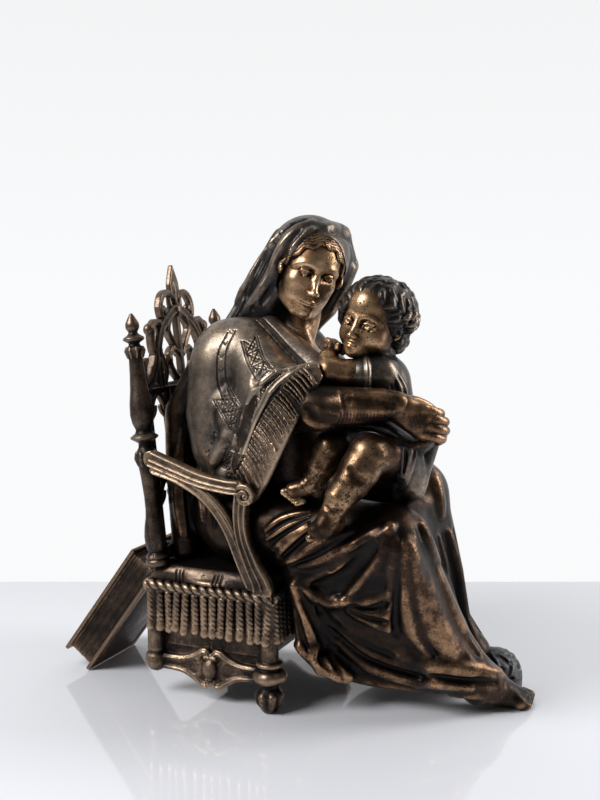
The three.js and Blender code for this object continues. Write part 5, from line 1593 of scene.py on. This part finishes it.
def chair_arm(side):
    """Handle, support, brace and the link between them, as flat bars with beads."""
    f = Field([-66, min(side * 76, side * 94), 108], [66, max(side * 76, side * 94), 236], 0.5)
    y, thick = side * ARM["y"], ARM["thick"]
    handle = [[-56, 222, 7.5], [-30, 213.5, 7], [-5, 206, 6.4], [20, 202.5, 6.2], [32, 202.2, 6.4]]
    support = [[36, 199, 7.2], [33.5, 180, 6.4], [36, 158, 6.2], [45.5, 134, 7], [53, 120, 8.6],
               [55, 113, 9.6]]
    brace = [[-54, 212, 3.6], [-28, 205, 3.8], [0, 189.5, 3.8], [20, 166, 3.8], [34, 136, 4.2], [44, 116, 5]]
    link = [[-14, 203, 2.2], [4, 192, 2.2], [20, 175, 2.2], [31, 156, 2.4]]
    bar(f, handle, 1, y, thick - 1, 1.0, beads=False)
    for share, more in ((0.78, 2.6), (-0.2, 1.6), (-0.8, 2.2)):
        bead(f, offset_line(handle, share), 1.2, 1, y, thick + more, 1.8, 0.5)
    bar(f, support, 1, y, thick - 1.5, 1.0, beads=False)
    for share in (-0.75, 0.0, 0.75):
        bead(f, offset_line(support, share), 1.15, 1, y, thick + 1.4, 1.8, 0.5)
    bar(f, brace, 1, y, thick - 3, 0.8)
    bar(f, link, 1, y, thick - 4.5, 0.8, beads=False)
    bead(f, curve(link), 0.8, 1, y, thick - 1.5, 1.4, 0.4)
    # Volute at the handle's end, its eye and the curl under it
    spiral = []
    for i in range(22):
        a = math.radians(125 - 25 * i)
        r = 9.2 - 0.36 * i
        spiral.append([39 + r * math.cos(a) - 0.4, 195.5 + r * math.sin(a), 2.2])
    f.add(ribbon(spiral, 1, y, thick + 2, 1.5), 0.4)
    f.add(ribbon([[38.5, 195.5, 7.5], [39.5, 195, 7.5]], 1, y, thick - 2, 1), 0.5)
    f.add(blob([39, y, 195.4], [2.8, 7.2, 2.8]), 0.6)
    return f


# Outline of a back post: [radius, height]
POST = [[10, -2], [11.2, 0], [11.2, 3], [9.4, 4.5], [11, 6.5], [9, 9], [7.4, 11], [8.6, 13], [9.8, 18],
        [10, 26], [8.8, 35], [7, 43], [6.3, 50], [6.2, 62], [7.2, 80], [8.4, 92], [9.6, 98], [9.4, 103],
        [6.4, 108], [6, 112], [12.6, 116], [13, 117.5], [8, 121], [7, 124], [9.6, 130], [10.8, 138],
        [10.2, 148], [8.4, 160], [7.2, 174], [6.3, 190], [7.4, 195], [8.6, 198], [5.4, 201], [5, 203],
        [9.8, 206], [9.6, 208], [5, 211], [4, 213], [6.4, 217], [6.2, 221], [3.6, 226], [1.2, 230]]


def chair_back():
    """Posts and pierced panel, in the back's own upright frame."""
    f = Field([-17, -95, -3], [17, 95, 277], 0.6, BACK_FOOT, LEAN_AXES)
    w, s, thick = PANEL["half_width"], PANEL["shoulder"], PANEL["thick"]
    for side in (-1, 1):
        y = side * SEAT["half_width"]
        f.add(turned([0, y, 0], POST))
        # Flutes on the two swellings, and leaves under the two necks
        for i in range(10):
            a = 2 * math.pi * (i + 0.5) / 10
            f.cut(around(0, y, a, [[9.6, 14, 0.7], [11.4, 24, 1.0], [9.4, 38, 0.6]]), 0.5)
            f.cut(around(0, y, a, [[11, 128, 0.6], [12.2, 138, 1.1], [11, 152, 1.0], [8.6, 168, 0.5]]), 0.5)
        for i in range(8):
            a = 2 * math.pi * i / 8
            f.add(around(0, y, a, [[8, 92, 1.4], [9.6, 98, 2.0], [9, 103, 1.6]]), 0.8)
            f.add(around(0, y, a, [[7, 190, 1.0], [8.2, 196, 1.8], [7.6, 199, 1.2]]), 0.8)
        # Rounded feet of the panel beside the posts, and the side stiles
        f.add(ribbon([[side * (w - 2), 4, 4], [side * (w - 2), s - 28, 4]], 0, 0, thick, 1.2), 0.8)
        f.add(twisted([6, side * 58, 8], [-4, side * 58, 8], 7.5, 2, 30, 1.2), 0.8)
        f.add(blob([0, side * 58, 8], [7.5, 3.5, 3.5]), 0.5)
    # Rails, mullions and the lancets between them
    rails = [((-w, z), (w, z), half, thick) for z, half in ((5, 4.5), (79, 4.5), (s - 31, 4.0))]
    mullions = [((y, 5), (y, s - 30), 3.6, thick - 0.5) for y in (-34, 0, 34)]
    for start, end, half, deep in rails + mullions:
        f.add(ribbon([[*start, half], [*end, half]], 0, 0, deep, 1.2), 0.8)
        f.add(ribbon([[*start, 1.1], [*end, 1.1]], 0, 0, thick + 2, 1.4), 0.5)
    for y in (-51, -17, 17, 51):
        for top in (74, s - 36):
            spring = top - 18
            for half in (-1, 1):
                arch = [[y + half * 13, spring - 2, 2.2], [y + half * 12, spring + 6, 2.2],
                        [y + half * 6, top - 3, 2.2], [y, top + 1, 2.2]]
                cusp = [[y + half * 12, spring - 4, 1.8], [y + half * 6, spring + 1, 1.6],
                        [y + half * 4.4, spring + 6, 1.8]]
                f.add(ribbon(curve(arch), 0, 0, thick - 1, 1.2), 0.8)
                f.add(ribbon(curve(cusp, gap=3), 0, 0, thick - 3, 1.2), 0.6)
    add_crest(f)
    return f


def add_crest(f):
    """The panel's shoulders, its arch with the openwork in and over it, and the spear leaf on top."""
    w, s, arch, thick = (PANEL[k] for k in ("half_width", "shoulder", "arch", "thick"))
    shoulder = [[w, s - 30, 4], [60, s - 23, 4], [52, s - 12, 4.4], [46, s - 2, 5]]
    rise = [[w, s - 30, 3.4], [w - 3, s - 10, 3.0], [w - 8, s - 4, 2.6]]
    scrolls = [
        [[3, s - 30, 3.0], [10, s - 24, 3.0], [20, s - 14, 3.2], [22, s - 3, 3.2], [15, s + 4, 3.0],
         [8, s + 1, 2.4]],
        [[4, s - 2, 2.6], [12, s + 10, 2.8], [20, s + 22, 2.8], [14, s + 32, 2.4]],
        [[36, s - 28, 2.8], [30, s - 16, 2.8], [34, s - 6, 2.4], [38, s + 2, 2.2]],
        [[5, s + 54, 2.6], [15, s + 58, 3.0], [25, s + 54, 3.2], [30, s + 44, 3.0], [28, s + 34, 2.6],
         [22, s + 34, 2.2]],
        [[34, s + 30, 2.8], [44, s + 30, 3.0], [50, s + 20, 3.0], [50, s + 6, 3.0], [45, s - 2, 2.8]],
    ]
    for half in (-1, 1):
        bar(f, sided(half, shoulder), 0, 0, thick, 0.8)
        bar(f, sided(half, rise), 0, 0, thick - 1, 0.8, beads=False)
        for scroll in scrolls:
            line = sided(half, scroll)
            bar(f, line, 0, 0, thick, 0.8, beads=False)
            bead(f, curve(line), 0.9, 0, 0, thick + 2.2, 1.4, 0.4)
        for y, z, r in ((23, -6, 5.4), (15, 33, 4.4), (51, 24, 6.0), (38, 4, 4.4), (24, 42, 4.6)):
            f.add(blob([0, half * y, s + z], [r * 0.9, r, r]), 0.8)
    rising = [[-arch, -30], [-arch, -6], [-arch * 0.96, 10], [-arch * 0.72, 27], [-arch * 0.36, 38]]
    ring = rising + [[0, 44]] + [[-y, z] for y, z in reversed(rising)]
    bar(f, [[y, s + z - 2, 4.2] for y, z in ring], 0, 0, thick, 0.8)
    bar(f, [[0, s - 34, 3.6], [0, s, 2.8], [0, s + 42, 3.0]], 0, 0, thick, 0.8, beads=False)
    f.add(blob([0, 0, s - 28], [5, 9, 6]), 1.5)
    # Spear leaf, with a midrib, over a knop and two side leaves
    f.add(turned([0, 0, s + 36], [[3.5, -2], [6.8, 3], [6.4, 8], [3.8, 13], [3.4, 22]]), 0.8)
    spear = [[0, s + 54, 3.2], [0, s + 60, 7.6], [0, s + 64, 8.6], [0, s + 70, 6.6], [0, s + 77, 3.6],
             [0, s + 83.4, 0.9]]
    f.add(ribbon(curve(spear, gap=2), 0, 0, 5.6, 1.6), 0.8)
    f.add(path([[0, 0, s + 52, 3.9], [0, 0, s + 64, 3.9], [0, 0, s + 82, 1.1]]), 0.6)
    for half in (-1, 1):
        leaf = [[0, 3, s + 40, 2.8], [0, 9, s + 46, 3.0], [0, 10.5, s + 54, 2.2], [0, 8, s + 57, 1.4]]
        f.add(path(mirror(half, leaf)), 1)
        for x in (-3.4, 3.4):
            vein = [[x, 2.6, s + 57, 0.7], [x, 4.4, s + 65, 1.1], [x, 1.8, s + 76, 0.6]]
            f.cut(path(mirror(half, vein)), 0.4)


# Book and cushion

def book():
    """Two covers and a spine round a block of pages, in the book's own frame."""
    t = BOOK["tilt"]
    axes = np.array([[math.cos(t), 0, -math.sin(t)], [0, 1, 0], [math.sin(t), 0, math.cos(t)]])
    origin = [BOOK_EDGE[0] - BOOK["thick"] * math.cos(t), BOOK_EDGE[1], BOOK["thick"] * math.sin(t)]
    length, width, thick, cover, inset = (BOOK[k] for k in ("length", "width", "thick", "cover", "inset"))
    f = Field([-2, -2, -2], [thick + 2, width + 2, length + 2], 0.5, origin, axes)
    f.add(box([0, 0, 0], [cover, width, length], 1.1))
    f.add(box([thick - cover, 0, 0], [thick, width, length], 1.1))
    f.add(box([0, width - cover, 0], [thick, width, length], 2.0), 1)
    f.add(box([cover - 1, inset, inset], [thick - cover + 1, width - 1, length - inset], 0.6))
    # Leaves on the three open sides, in slightly uneven layers
    x = cover + 1.2
    i = 0
    while x < thick - cover - 0.8:
        r = 0.42 + 0.2 * math.sin(2.3 * i) ** 2
        sway = 0.35 * math.sin(1.9 * i)
        f.cut(limb([x + sway, inset, inset], [x - sway, inset, length - inset], r, r), 0.4)
        for z in (inset, length - inset):
            f.cut(limb([x, inset, z], [x + sway, width - 4, z], r, r), 0.4)
        x += 1.75 + 0.5 * math.sin(1.3 * i)
        i += 1
    # A line round each cover, and ribs across the spine
    for x in (0, thick):
        for y0, z0 in ((7, 7), (10, 10)):
            y1, z1 = width - y0, length - z0
            corners = [[x, y0, z0], [x, y1, z0], [x, y1, z1], [x, y0, z1], [x, y0, z0]]
            f.cut(path([[*p, 0.6] for p in corners]), 0.4)
    for z in (22, 52, 82, 112):
        f.add(limb([4, width - 0.6, z], [thick - 4, width - 0.6, z], 1.5, 1.5), 1.2)
    return f


def dome(grow):
    """The foot cushion's outline, turned and made larger by grow: an upright rim under a domed top."""
    half, top = CUSHION["half"], CUSHION["top"]
    outline = [[0.95, -0.02], [0.99, 0.06], [1, 0.38], [0.94, 0.54], [0.82, 0.72], [0.64, 0.87], [0.4, 0.96],
               [0.04, 1]]
    profile = [[half * r + grow, top * z + grow * z] for r, z in outline]
    return turned([CUSHION["x"], CUSHION["y"], 0], profile)


def foot_cushion():
    half, top = CUSHION["half"], CUSHION["top"]
    x, y = CUSHION["x"], CUSHION["y"]
    f = Field([x - half - 3, y - half - 3, -0.5], [x + half + 3, y + half + 3, top + 3], 0.5)

    def at(share, turn, height):
        return [x + half * share * math.cos(turn), y + half * share * math.sin(turn), top * height]

    f.add(dome(-0.4))
    # Worn scrolls on the dome, a groove over the rim, and uneven dents
    for i in range(9):
        a = 2 * math.pi * i / 9
        line = [at(0.5, a - 0.3, 0.93), at(0.7, a, 0.83), at(0.86, a + 0.1, 0.68), at(0.95, a - 0.1, 0.52)]
        crease(f, line, 1.6, -1.1, gap=2)
        crease(f, [[px + 2.4, py + 2.4, pz] for px, py, pz in line], 1.4, 0.8, gap=2)
    ring = [at(1.0, a, 0.34 + 0.02 * math.sin(3 * a)) for a in np.linspace(0, 2 * math.pi, 61)]
    crease(f, ring, 1.2, -0.9, gap=2)
    dents = 40
    for i in range(dents):
        share = math.sqrt((i + 0.5) / dents)
        place = np.array(at(share, 2.4 * i, 0.3 + 0.7 * math.sqrt(max(0, 1 - share ** 2.4)))) + [0, 0, 1]
        f.cut(blob(place, [3.2, 2.4 + math.sin(i), 1.9]), 1.6)
    f.cut(box([x - 60, y - 60, -30], [x + 60, y + 60, 0.05], 0))
    return f


# Each piece of the figures: its name, what makes it, about how many triangles it gets, and its bronze
FIGURES = [
    ("gown", gown, 175000, CLOTH),
    ("shawl", shawl, 100000, SHAWL),
    ("shawl_fringe", fringe, 40000, FRINGE),
    ("veil", veil, 62000, VEIL),
    ("mother_head", mother_head, 50000, FACE_PAINTED_LIGHTER),
    ("mother_hair", mother_hair, 30000, SKIN),
    ("child_tunic", child_tunic, 45000, VEIL),
    ("child_arm", child_arm, 20000, ARM_GOLD),
    ("child_limbs", child_limbs, 36000, SKIN),
    ("mother_arm", mother_arm, 24000, SLEEVE),
    ("hands", hands, 30000, SLEEVE),
    ("child_head", child_head, 42000, CHILD_FACE),
    ("child_hair", child_hair, 44000, HAIR),
]


def build_all():
    for name, make, faces, material in FIGURES:
        cast(name, make(), faces, material, "madonna_and_child")
    cast("chair_seat", chair_seat(), 150000, CHAIR, "chair")
    cast("chair_back", chair_back(), 76000, BACK, "chair")
    cast("chair_arm_right", chair_arm(-1), 20000, CHAIR, "chair")
    cast("chair_arm_left", chair_arm(1), 16000, CHAIR, "chair")
    cast("book_leaves", book(), 15000, PAGES, "book")
    cast("foot_cushion", foot_cushion(), 12000, STOOL, "footstool")
    write_openness()


build_all()


# Stage: a pale table whose far edge shows as the horizon, and soft studio light

TABLE_FAR, TABLE_HALF, TABLE_DEPTH = 347, 2500, 3500  # its far edge from the group, half width and depth
BACK_GLOW = (0.10, 0.85)  # how bright the world is to the bronze, on the camera's side and behind
BACKDROP = (0.97, 0.90)  # how bright it is to the camera, at the horizon and higher up
CEILING = 0.25  # how much the glow leans upward


def plain(name, color, rough):
    material = bpy.data.materials.new(name)
    material.use_nodes = True
    shader = material.node_tree.nodes["Principled BSDF"]
    shader.inputs["Base Color"].default_value = (*color, 1)
    shader.inputs["Roughness"].default_value = rough
    shader.inputs["Specular IOR Level"].default_value = 0.5
    return material


def add_table():
    back = EYE - AIM
    back[2] = 0
    back /= np.linalg.norm(back)
    aside = np.array([-back[1], back[0], 0]) * TABLE_HALF
    edge = np.array([AIM[0], AIM[1], 0.0]) - back * TABLE_FAR
    front = edge + back * TABLE_DEPTH
    mesh = bpy.data.meshes.new("table")
    corners = [edge - aside, edge + aside, front + aside, front - aside]
    mesh.from_pydata([placed(c) for c in corners], [], [(0, 3, 2, 1)])
    mesh.update()
    if mesh.polygons[0].normal.z < 0:
        mesh.flip_normals()
    table = bpy.data.objects.new("table", mesh)
    bpy.context.scene.collection.objects.link(table)
    mesh.materials.append(plain("table_pale", (0.74, 0.75, 0.79), 0.06))


def add_light(name, place, aim, size, power, tall=None):
    data = bpy.data.lights.new(name, "AREA")
    data.shape = "RECTANGLE"
    data.size = size
    data.size_y = tall or size
    data.energy = power
    light = bpy.data.objects.new(name, data)
    bpy.context.scene.collection.objects.link(light)
    light.location = placed(place)
    light.rotation_euler = (placed(aim) - placed(place)).to_track_quat("-Z", "Y").to_euler()


def ranged(tree, source, start, end, low, high):
    """A node that carries values between start and end over to low and high."""
    node = tree.nodes.new("ShaderNodeMapRange")
    tree.links.new(source, node.inputs["Value"])
    for socket, value in (("From Min", start), ("From Max", end), ("To Min", low), ("To Max", high)):
        node.inputs[socket].default_value = value
    return node


def add_world():
    """A white backdrop to the camera. To the bronze, it is bright behind and dark on the camera's side."""
    world = bpy.data.worlds.new("studio")
    bpy.context.scene.world = world
    world.use_nodes = True
    tree = world.node_tree
    background = tree.nodes["Background"]
    away = (AIM - EYE) / np.linalg.norm(AIM - EYE)
    place = tree.nodes.new("ShaderNodeTexCoord")
    parts = tree.nodes.new("ShaderNodeSeparateXYZ")
    tree.links.new(place.outputs["Generated"], parts.inputs[0])
    height = ranged(tree, parts.outputs["Z"], -0.02, 0.3, *BACKDROP)
    behind = tree.nodes.new("ShaderNodeVectorMath")
    behind.operation = "DOT_PRODUCT"
    tree.links.new(place.outputs["Generated"], behind.inputs[0])
    behind.inputs[1].default_value = (away[0], away[1], CEILING)
    glow = ranged(tree, behind.outputs["Value"], -0.1, 0.9, *BACK_GLOW)
    glow.interpolation_type = "SMOOTHSTEP"
    ray = tree.nodes.new("ShaderNodeLightPath")
    mix = tree.nodes.new("ShaderNodeMix")
    tree.links.new(ray.outputs["Is Camera Ray"], mix.inputs["Factor"])
    tree.links.new(glow.outputs["Result"], mix.inputs["A"])
    tree.links.new(height.outputs["Result"], mix.inputs["B"])
    tree.links.new(mix.outputs["Result"], background.inputs["Strength"])
    background.inputs["Color"].default_value = (0.985, 0.99, 1.0, 1)


bpy.context.scene.view_settings.view_transform = "Standard"
add_table()
add_light("key", (-700, -980, 1150), (70, -20, 240), 0.75, 24)
add_light("rim", (950, 420, 620), (70, 0, 250), 0.4, 9, tall=1.0)
add_world()
